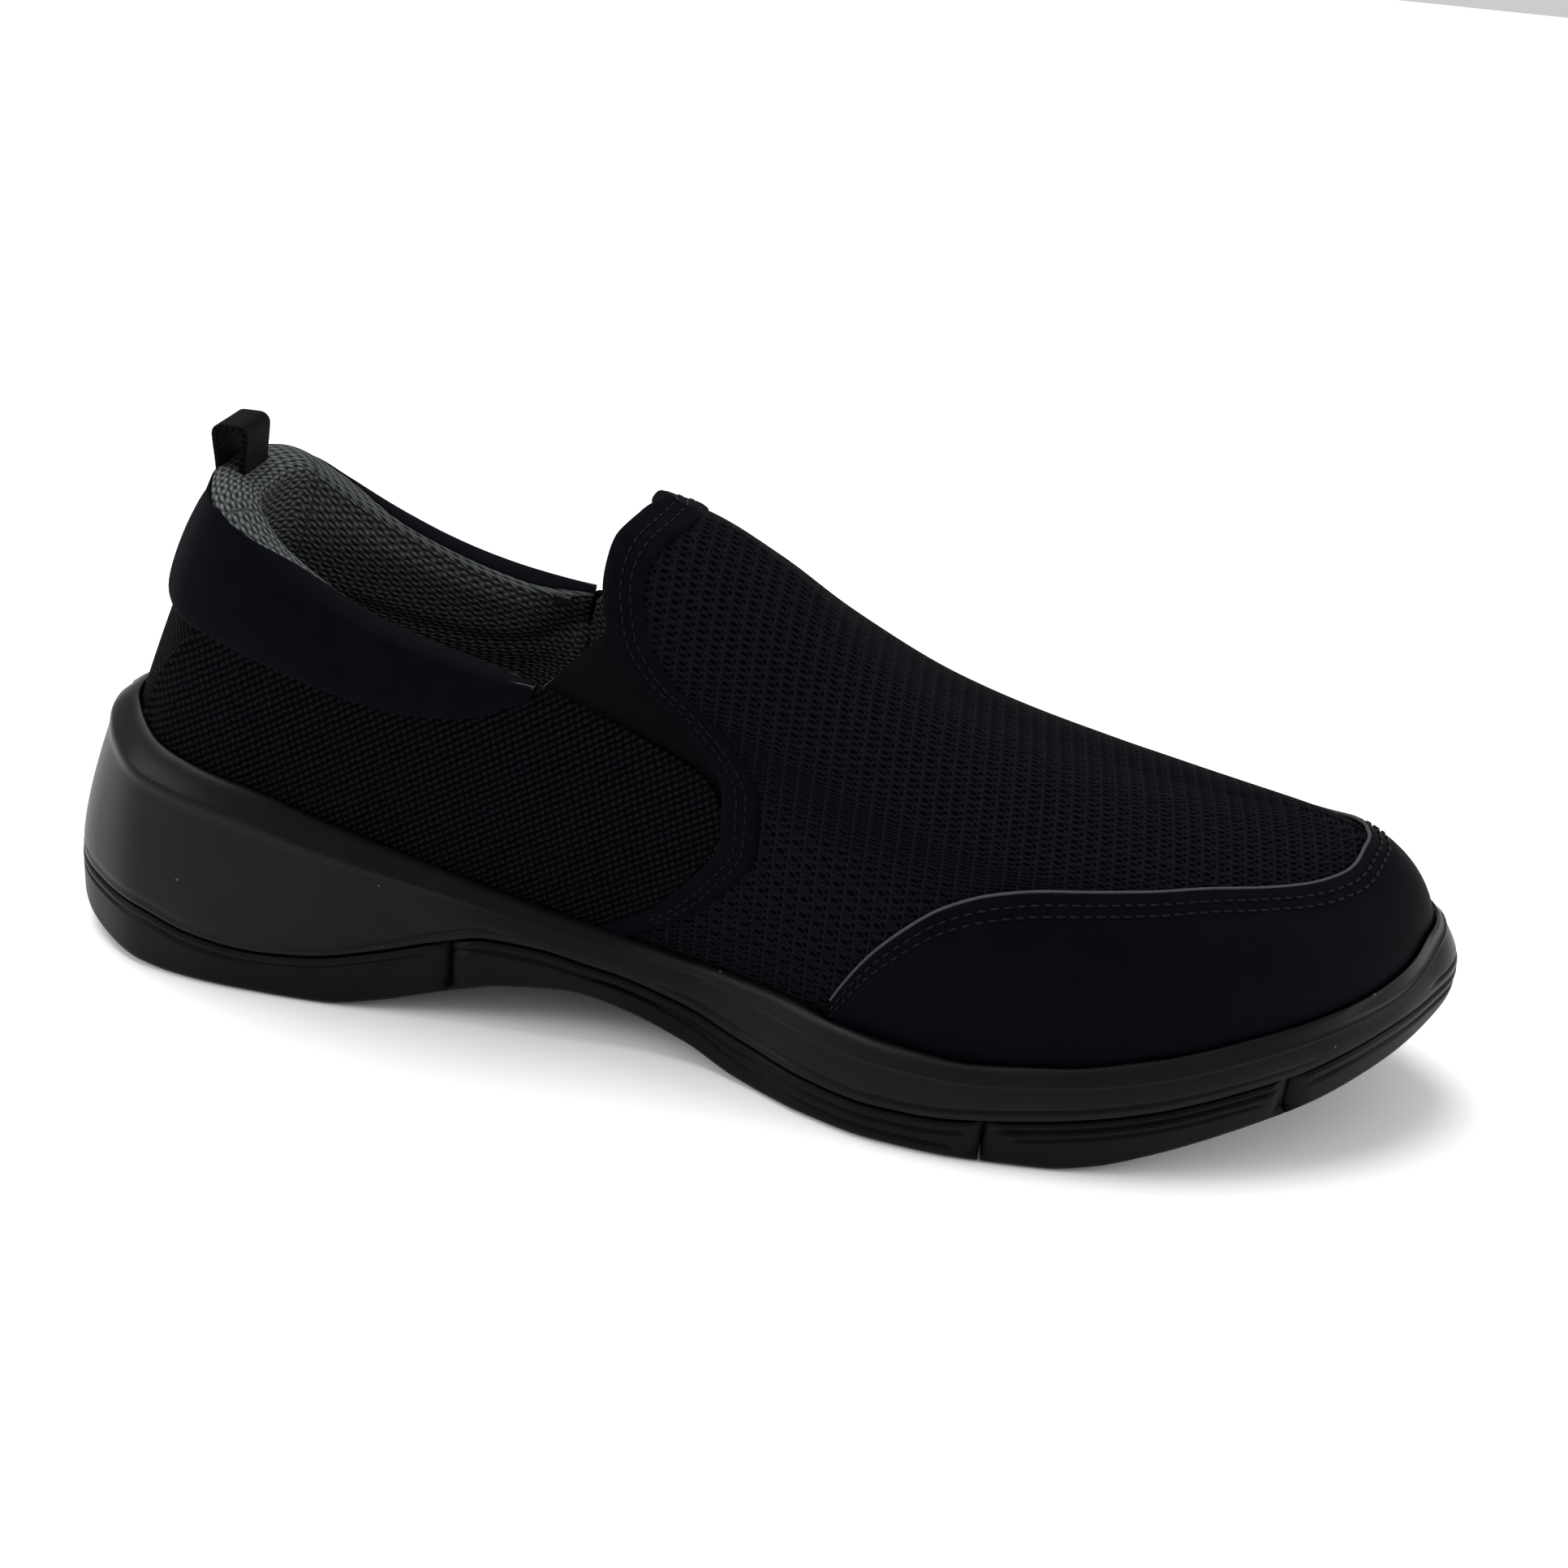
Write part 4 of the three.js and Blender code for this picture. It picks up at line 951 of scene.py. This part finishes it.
collar_lining = grid_piece("collar_lining_roll", lining_section(0), outside=lining_section(1))
thicken(collar_lining, 0.6)
dress(collar_lining, spacer, "lining", "shoe", "collar_lining")

# ---- Gores ----
# Elastic webbing set in on both sides between the collar's front end and the throat band, so that the shoe
# opens for the foot. It is sewn under both, and shows fine ribs.
elastic, elastic_shader = finish("woven_elastic", 0.75, Specular_IOR_Level=0.03)
# Ribs 0.9 mm apart, along the stretch.
elastic_uv = add(elastic, "ShaderNodeTexCoord").outputs["UV"]
elastic_ribs = stripes(elastic, elastic_uv, 0.9, math.pi / 2)
tint(elastic, elastic_shader, two_tone(elastic, elastic_ribs, "#050607", "#101114"))
emboss(elastic, elastic_shader, elastic_ribs, 0.2)
for side, word in SIDES:
    places = patch(seam(side, [[103, 71.5], [116, 66], [129, 60.5], [141, 56]]),
                   seam(side, [[104, 75.4], [109.5, 81.5], [115, 87.5], [121, 93]]),
                   seam(side, [[103, 71.5], [104, 75.4]]),
                   seam(side, [[141, 56], [142, 64], [134, 73], [126, 82], [121, 93]]), 30, 30)
    gore = cloth_panel(f"elastic_gore_{word}", places, -MESH - 0.2, 1.2, 0.3)
    dress(gore, elastic, "elastic", "shoe", f"gore_{word}")

# ---- Quarter linings ----
# The same grey knit without padding. It lines the waist of the shoe between the collar's lining and the
# vamp's, and is caught in the gore's upper seam.
for side, word in SIDES:
    top = seam(side, [[103, 74.6], [109.5, 80.9], [115, 86.9], [120.6, 92.3]])
    front = seam(side, [[109, 21], *along_throat((30, 39, 50, 60, 67, 74, 80, 87), -1), [120.6, 92.3]])
    foot = np.array([side * (collar_end - 0.01), 0.01])
    rear = straight(foot, top(np.float64(0)))
    bottom = straight(foot, front(np.float64(0)))
    places = patch(bottom, top, rear, front, 60, 40)
    lining = cloth_panel(f"quarter_lining_knit_{word}", places, -MESH - 1.7, 0.8, 0)
    dress(lining, spacer, "lining", "shoe", f"quarter_lining_{word}")

# ---- Vamp ----
# Open knitted mesh over the whole forefoot, in one piece from the throat to the toe and lasted under the
# insole board. Thin foam backs it, a puff stiffens the toe, and a knit lines it.
vamp_mesh, vamp_shader = finish("vamp_ladder_mesh", 0.85, Specular_IOR_Level=0.015)
# Ladders 3.1 mm apart with rungs every 3.4 mm, and staggered holes of 1.5 by 1.7 mm between them.
vamp_uv = add(vamp_mesh, "ShaderNodeTexCoord").outputs["UV"]
ladder = combine(vamp_mesh, "POWER", stripes(vamp_mesh, vamp_uv, 3.1, 0, 0.6), 6.0)
rungs = combine(vamp_mesh, "POWER", stripes(vamp_mesh, vamp_uv, 3.4, math.pi / 2, 0.6), 8.0)
holes = combine(vamp_mesh, "MULTIPLY", stripes(vamp_mesh, vamp_uv, 1.5, math.radians(61), 1.0),
                stripes(vamp_mesh, vamp_uv, 1.5, math.radians(-61), 1.0))
ground_cloth = combine(vamp_mesh, "ADD", combine(vamp_mesh, "MULTIPLY", holes, -1.2), 0.75)
lines = combine(vamp_mesh, "MULTIPLY", combine(vamp_mesh, "ADD", ladder, rungs), 0.95)
vamp_height = combine(vamp_mesh, "MAXIMUM", lines, ground_cloth)
tint(vamp_mesh, vamp_shader, two_tone(vamp_mesh, vamp_height, "#010102", "#131418", 0.2, 0.95))
emboss(vamp_mesh, vamp_shader, vamp_height, 0.45)


PEAK_ROUNDING = 1.5
OUTER_CUT = 5.5


def throat_share(side, v, ahead):
    """Share along the last where rise v crosses the throat's edge, moved forward by ahead."""
    # The edge is cut round across the top of the foot, and further back on the outer side.
    to_ridge = smooth(0.8, 1, v)
    on_outer = np.where(np.asarray(side) == LATERAL, OUTER_CUT, 0)
    cut_back = PEAK_ROUNDING * to_ridge + on_outer * smooth(0.4, 0.7, v) * (1 - to_ridge)

    def behind(m):
        point = form(side * m, v)
        return point[..., 0] < throat_curve(point[..., 2]) + ahead + cut_back

    return bisect(behind, np.full(np.shape(v), 0.2), np.full(np.shape(v), 0.8))


FORE_COLUMNS = 130


def fore_places(start, end, rows):
    """[u, v] of a sheet over the forefoot between two edges, each a function of side and rise to a share."""
    s, r = spread(FORE_COLUMNS, rows)
    across = 2 * r - 1
    side = np.where(across < 0, MEDIAL, LATERAL)
    v = 1 - np.abs(across)
    return np.stack([side * lerp(start(side, v), end(side, v), s), v], axis=-1)


def throat_edge(ahead):
    """The throat's edge, moved forward by ahead, as fore_places takes an edge."""
    return lambda side, v: throat_share(side, v, ahead)


def toe_tip(side, v):
    """The line down the front of the toe."""
    return np.ones(np.shape(v))


def fore_pattern(points):
    """Pattern coordinates over the forefoot: along x, and round from the ridge line."""
    around_length = lengths(points)[..., 1]
    middle = around_length[around_length.shape[0] // 2]
    return np.stack([points[..., 0] * 1.04, around_length - middle], axis=-1)


vamp_places = fore_places(throat_edge(0.3), toe_tip, 150)
vamp_points = layer(vamp_places[..., 0], vamp_places[..., 1], 0)
vamp = cloth_panel("vamp_mesh", vamp_places, 0, MESH, 0, fore_pattern(vamp_points))
weld(vamp)
dress(vamp, vamp_mesh, "mesh", "flex", "vamp")
vamp_lining_places = fore_places(throat_edge(2.5), toe_tip, 60)
from_throat = lengths(layer(vamp_lining_places[..., 0], vamp_lining_places[..., 1], 0))[..., 0]
lining_offset = lerp(lerp(-MESH - 0.1, -3.0, smooth(0, 6, from_throat)), INSIDE, smooth(12, 40, from_throat))
vamp_lining = cloth_panel("vamp_lining_knit", vamp_lining_places, lining_offset, 0.8, 0)
weld(vamp_lining)
dress(vamp_lining, spacer, "lining", "flex", "vamp_lining")
foam, foam_shader = finish("open_cell_foam", 0.95)
# Polyurethane foam: fine open cells.
tint(foam, foam_shader, two_tone(foam, noise(foam, 0.6), "#0d0d0f", "#18191b"))
emboss(foam, foam_shader, noise(foam, 0.6), 0.2)
PUFF_START = 232.0


def before_puff(side, v):
    """The line where the foam stops, just behind the toe puff."""
    return np.full(np.shape(v), feather_share(PUFF_START) - 0.004)


foam_places = fore_places(throat_edge(9.5), before_puff, 40)
vamp_foam = cloth_panel("vamp_padding", foam_places, -MESH - 0.1, 1.1, 0)
dress(vamp_foam, foam, "padding", "flex", "vamp_foam")

# ---- Throat band ----
# A strip of nubuck folded over the vamp's raw edge from one gore to the other, flat outside and turned in
# under the mesh. Two rows of lockstitch hold it.
BAND_WIDTH = 7.5
# Each fold of the strip: how far it lies ahead of the throat's edge, and its height above the mesh.
BAND_FOLDS = ((BAND_WIDTH, 0.1), (BAND_WIDTH - 0.3, 0.6), (BAND_WIDTH - 1, 0.85), (5.8, 0.95), (4.9, 0.8),
              (4.2, 0.9), (3.6, 0.9), (3.0, 0.75), (2.2, 0.95), (1.2, 1.0), (0.3, 0.8), (-0.3, 0.3),
              (-0.6, -0.4), (-0.7, -1.2), (-0.5, -2.0), (0.1, -2.7), (1.2, -3.0), (3.0, -3.1), (5.0, -3.0))
BAND_STITCHES = (3.0, 4.9)


def band_places(ahead):
    """[u, v] along the throat from gore to gore, ahead of its edge."""
    r = np.linspace(0, 1, 261)
    across = 2 * r - 1
    side = np.where(across < 0, MEDIAL, LATERAL)
    v = 1 - np.abs(across)
    # Across the ridge the throat's edge runs level, so the band is measured further forward there.
    forward = ahead * (1 + 0.6 * smooth(0.72, 1.0, v)) if ahead > 0 else ahead
    return side * throat_share(side, v, forward), v


band_points = np.array([layer(*band_places(ahead), offset) for ahead, offset in BAND_FOLDS])
band = grid_piece("throat_binding", band_points)
thicken(band, 0.4)
dress(band, nubuck, "suede", "shoe", "throat_band")

thread, thread_shader = finish("bonded_nylon_thread", 0.5, Specular_IOR_Level=0.1)
# Twisted bonded thread: black, and a little glossier than the cloth.
tint(thread, thread_shader, two_tone(thread, noise(thread, 0.4), "#030304", "#0b0b0d"))


STITCH_SHARE = 0.8


def stitch_row(name, u, v, offset, pitch, body, width=0.5):
    """A row of lockstitches along [u, v], one short round stitch to each pitch in millimetres."""
    path = layer(u, v, offset)
    run = np.concatenate([[0], np.cumsum(np.linalg.norm(np.diff(path, axis=0), axis=1))])
    count = max(int(run[-1] / pitch), 2)
    centres = (np.arange(count) + 0.5) * run[-1] / count
    place = np.stack([np.interp(centres, run, path[:, k]) for k in range(3)], axis=-1)
    ahead = np.stack([np.interp(centres + 0.3, run, path[:, k]) for k in range(3)], axis=-1) - place
    ahead /= np.linalg.norm(ahead, axis=1, keepdims=True)
    out = outwards(np.interp(centres, run, u), np.interp(centres, run, v))
    out /= np.linalg.norm(out, axis=1, keepdims=True)
    beside = np.cross(out, ahead)
    bpy.ops.object.select_all(action="DESELECT")
    bpy.ops.mesh.primitive_uv_sphere_add(segments=6, ring_count=4, radius=1)
    bead = bpy.context.object
    base = np.array([vertex.co[:] for vertex in bead.data.vertices])
    faces = [list(face.vertices) for face in bead.data.polygons]
    bpy.data.objects.remove(bead)
    half_length, radius = pitch * STITCH_SHARE / 2, width / 2
    points = (place[:, None] + base[None, :, 2:] * half_length * ahead[:, None]
              + base[None, :, :1] * radius * beside[:, None] + base[None, :, 1:2] * radius * out[:, None])
    mesh = bpy.data.meshes.new(name)
    all_faces = [[k + i * len(base) for k in face] for i in range(count) for face in faces]
    mesh.from_pydata(((points.reshape(-1, 3) + SHIFT) / 1000).tolist(), [], all_faces)
    row = bpy.data.objects.new(name, mesh)
    bpy.context.scene.collection.objects.link(row)
    face_out(row)
    dress(row, thread, "suede", body)


for number, ahead in enumerate(BAND_STITCHES, 1):
    stitch_u, stitch_v = band_places(ahead)
    keep = slice(12, -12)
    stitch_row(f"throat_stitches_{number}", stitch_u[keep], stitch_v[keep], 0.9, 2.4, "shoe")

# ---- Toe cap ----
# Smooth microfibre laid over the mesh and lasted under with it. Its upper edge is cut raw, so that the grey
# core shows as a fine line, and two rows of stitches hold it.
microfibre, microfibre_shader = finish("smooth_microfibre", 0.6, Specular_IOR_Level=0.025)
# Coated microfibre: an even, dull surface with a fine grain.
microfibre_colour = two_tone(microfibre, noise(microfibre, 6), "#040509", "#06070c", 0.3, 0.7)
tint(microfibre, microfibre_shader, microfibre_colour)
emboss(microfibre, microfibre_shader, noise(microfibre, 0.45), 0.06, 0.7)
cut_edge, cut_shader = finish("raw_cut_edge", 0.8)
# The grey backing of the microfibre, showing along the cut.
tint(cut_edge, cut_shader, two_tone(cut_edge, noise(cut_edge, 1.5), "#1c1e21", "#34373b"))
CAP_SEAM = [[166, 17], [170, 27], [175, 36], [181, 43], [188, 48.5], [196, 51.6], [209, 53], [225, 53.2],
            [240, 53.4], [257, 53], [266, 53.6], [272, 55.6]]
CAP_START = [168.6, 20.5]
CAP_PEAK = 0.66
CAP_HEIGHT = 1.25
CAP_FOOT = 0.012
CAP_MARGIN = 6.0
CAP_STITCHES = (2.3, 4.4)
cap_rises = {}
for side in (MEDIAL, LATERAL):
    found = on_form(side, *np.array(CAP_SEAM, float).T)
    cap_rises[side] = through([*[[abs(u), v] for u, v in found], [1, CAP_PEAK]])
cap_starts = {side: float(abs(on_form(side, *CAP_START)[0])) for side in (MEDIAL, LATERAL)}


def cap_line(below, columns=320):
    """[u, v] along the cap's seam, lowered by below millimetres, from the inner side round to the outer."""
    s = np.linspace(-1, 1, columns + 1)
    t = np.where(s < 0, lerp(1, cap_starts[MEDIAL], -s), lerp(1, cap_starts[LATERAL], s))
    v = np.where(s < 0, cap_rises[MEDIAL](t), cap_rises[LATERAL](t))
    u = np.where(s < 0, -t, t)
    slope = np.linalg.norm(form(u, v + 0.01) - form(u, v - 0.01), axis=-1) / 0.02
    return u, np.maximum(v - below / slope, CAP_FOOT)


def cap_surface(lift):
    """Rows of the cap, from its seam down over the toe. The rows of stitches pull two shallow dips."""
    rows = []
    for below in (0, 0.4, 1.0, 1.8, 2.6, 3.6, 4.6, CAP_MARGIN):
        dip = 0.18 * sum(math.exp(-(((below - row) / 0.8) ** 2)) for row in CAP_STITCHES)
        rows.append(layer(*cap_line(below), CAP_HEIGHT - dip + lift))
    u, v = cap_line(CAP_MARGIN)
    for w in np.linspace(0, 1, 40)[1:]:
        rows.append(layer(u, lerp(v, CAP_FOOT, w), 1.3 + lift))
    return np.array(rows)


toe_cap = grid_piece("toe_cap_microfibre", cap_surface(0), outside=cap_surface(1))
thicken(toe_cap, OVERLAY, 0.15)
dress(toe_cap, microfibre, "microfibre", "flex", "toe_cap")


def bead_line(name, u, v, offset, radius, material, slot, body):
    """A thin round bead along [u, v], such as a cut edge."""
    path = (layer(u, v, offset) + SHIFT) / 1000
    curve = bpy.data.curves.new(name, "CURVE")
    curve.dimensions = "3D"
    curve.bevel_depth = radius / 1000
    curve.bevel_resolution = 2
    spline = curve.splines.new("POLY")
    spline.points.add(len(path) - 1)
    spline.points.foreach_set("co", np.concatenate([path, np.ones((len(path), 1))], axis=1).reshape(-1))
    bead = bpy.data.objects.new(name, curve)
    bpy.context.scene.collection.objects.link(bead)
    bpy.ops.object.select_all(action="DESELECT")
    bpy.context.view_layer.objects.active = bead
    bead.select_set(True)
    bpy.ops.object.convert(target="MESH")
    dress(bpy.context.object, material, slot, body)


edge_u, edge_v = cap_line(-0.25)
bead_line("toe_cap_cut_edge", edge_u, edge_v, 0.75, 0.42, cut_edge, "microfibre", "flex")
for number, below in enumerate(CAP_STITCHES, 1):
    stitch_u, stitch_v = cap_line(below)
    stitch_row(f"toe_cap_stitches_{number}", stitch_u, stitch_v, 1.3, 2.6, "flex", 0.6)

# ---- Pull loop ----
# Black woven webbing folded over into a flat-topped loop, stiff enough to stand. Both its ends are sewn
# into the collar's rim behind the heel.
webbing, webbing_shader = finish("woven_webbing", 0.7, Specular_IOR_Level=0.04)
# Coarse plain weave, threads 0.8 mm wide, with dotted highlights on the fold.
webbing_uv = add(webbing, "ShaderNodeTexCoord").outputs["UV"]
weave = combine(webbing, "MULTIPLY", stripes(webbing, webbing_uv, 0.9, math.radians(45)),
                stripes(webbing, webbing_uv, 0.9, math.radians(-45)))
tint(webbing, webbing_shader, two_tone(webbing, weave, "#020203", "#0c0d0f"))
emboss(webbing, webbing_shader, weave, 0.3)
loop_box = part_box("pull_loop")
loop_low, loop_high = np.array(loop_box[0]) * 1000 - SHIFT, np.array(loop_box[1]) * 1000 - SHIFT
WEBBING = 1.4
CORNER = 1.5
LEG_PINCH = 0.78
loop_middle = (loop_low + loop_high) / 2
half_depth = (loop_high[0] - loop_low[0] - WEBBING) / 2 - 0.4
half_width = (loop_high[1] - loop_low[1]) / 2 + 0.9
shoulder = loop_high[2] - WEBBING / 2 - CORNER
turn = np.linspace(0, math.pi / 2, 7)
# The webbing's path in the side view: up behind, over the flat top and down in front.
profile = np.concatenate([
    [[-half_depth, z] for z in np.linspace(loop_low[2] - 5, shoulder, 12)],
    [[CORNER * (1 - math.cos(a)) - half_depth, shoulder + CORNER * math.sin(a)] for a in turn[1:]],
    [[x, shoulder + CORNER] for x in np.linspace(CORNER - half_depth, half_depth - CORNER, 6)[1:-1]],
    [[half_depth - CORNER * (1 - math.sin(a)), shoulder + CORNER * math.cos(a)] for a in turn],
    [[half_depth, z] for z in np.linspace(shoulder, loop_low[2] - 3, 10)[1:]],
])
# Sewn flat at the bottom, the two legs draw together.
profile[:, 0] *= lerp(LEG_PINCH, 1, smooth(loop_low[2] - 2, loop_low[2] + 7, profile[:, 1]))
run = np.concatenate([[0], np.cumsum(np.linalg.norm(np.diff(profile, axis=0), axis=1))])
run, across = np.meshgrid(run, np.linspace(-half_width, half_width, 13))
loop_points = np.stack([loop_middle[0] + profile[:, 0] + 0 * across, loop_middle[1] + across,
                        profile[:, 1] + 0 * across], axis=-1)
loop_pattern = np.stack([run, across], axis=-1)
still = 0 * profile[:, 0]
outer_loop = loop_points + np.stack([np.sign(profile[:, 0]), still, still + 1], axis=-1)
loop = grid_piece("pull_loop_webbing", loop_points, loop_pattern, outside=outer_loop)
modify(loop, "SOLIDIFY", thickness=WEBBING / 1000, offset=0, use_even_offset=True)
soften(loop, 0.4)
dress(loop, webbing, "webbing", "heel_loop", "pull_loop")

# ---- Hidden stiffeners and foam ----
# A heel counter behind the heel and a puff over the toes, both pressed from stiff board, and the collar's
# foam. They lie between mesh and lining, out of sight, and keep the frame's own shapes.
stiff, stiff_shader = finish("thermoformed_stiffener", 0.6)
# Pressed fibreboard, dyed dark and slightly mottled.
tint(stiff, stiff_shader, two_tone(stiff, noise(stiff, 2), "#1d1d1e", "#29292a"))
for node, material in (("heel_counter", stiff), ("toe_puff", stiff), ("collar_foam", foam)):
    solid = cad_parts[node]
    solid.data.materials.clear()
    solid.data.materials.append(material)
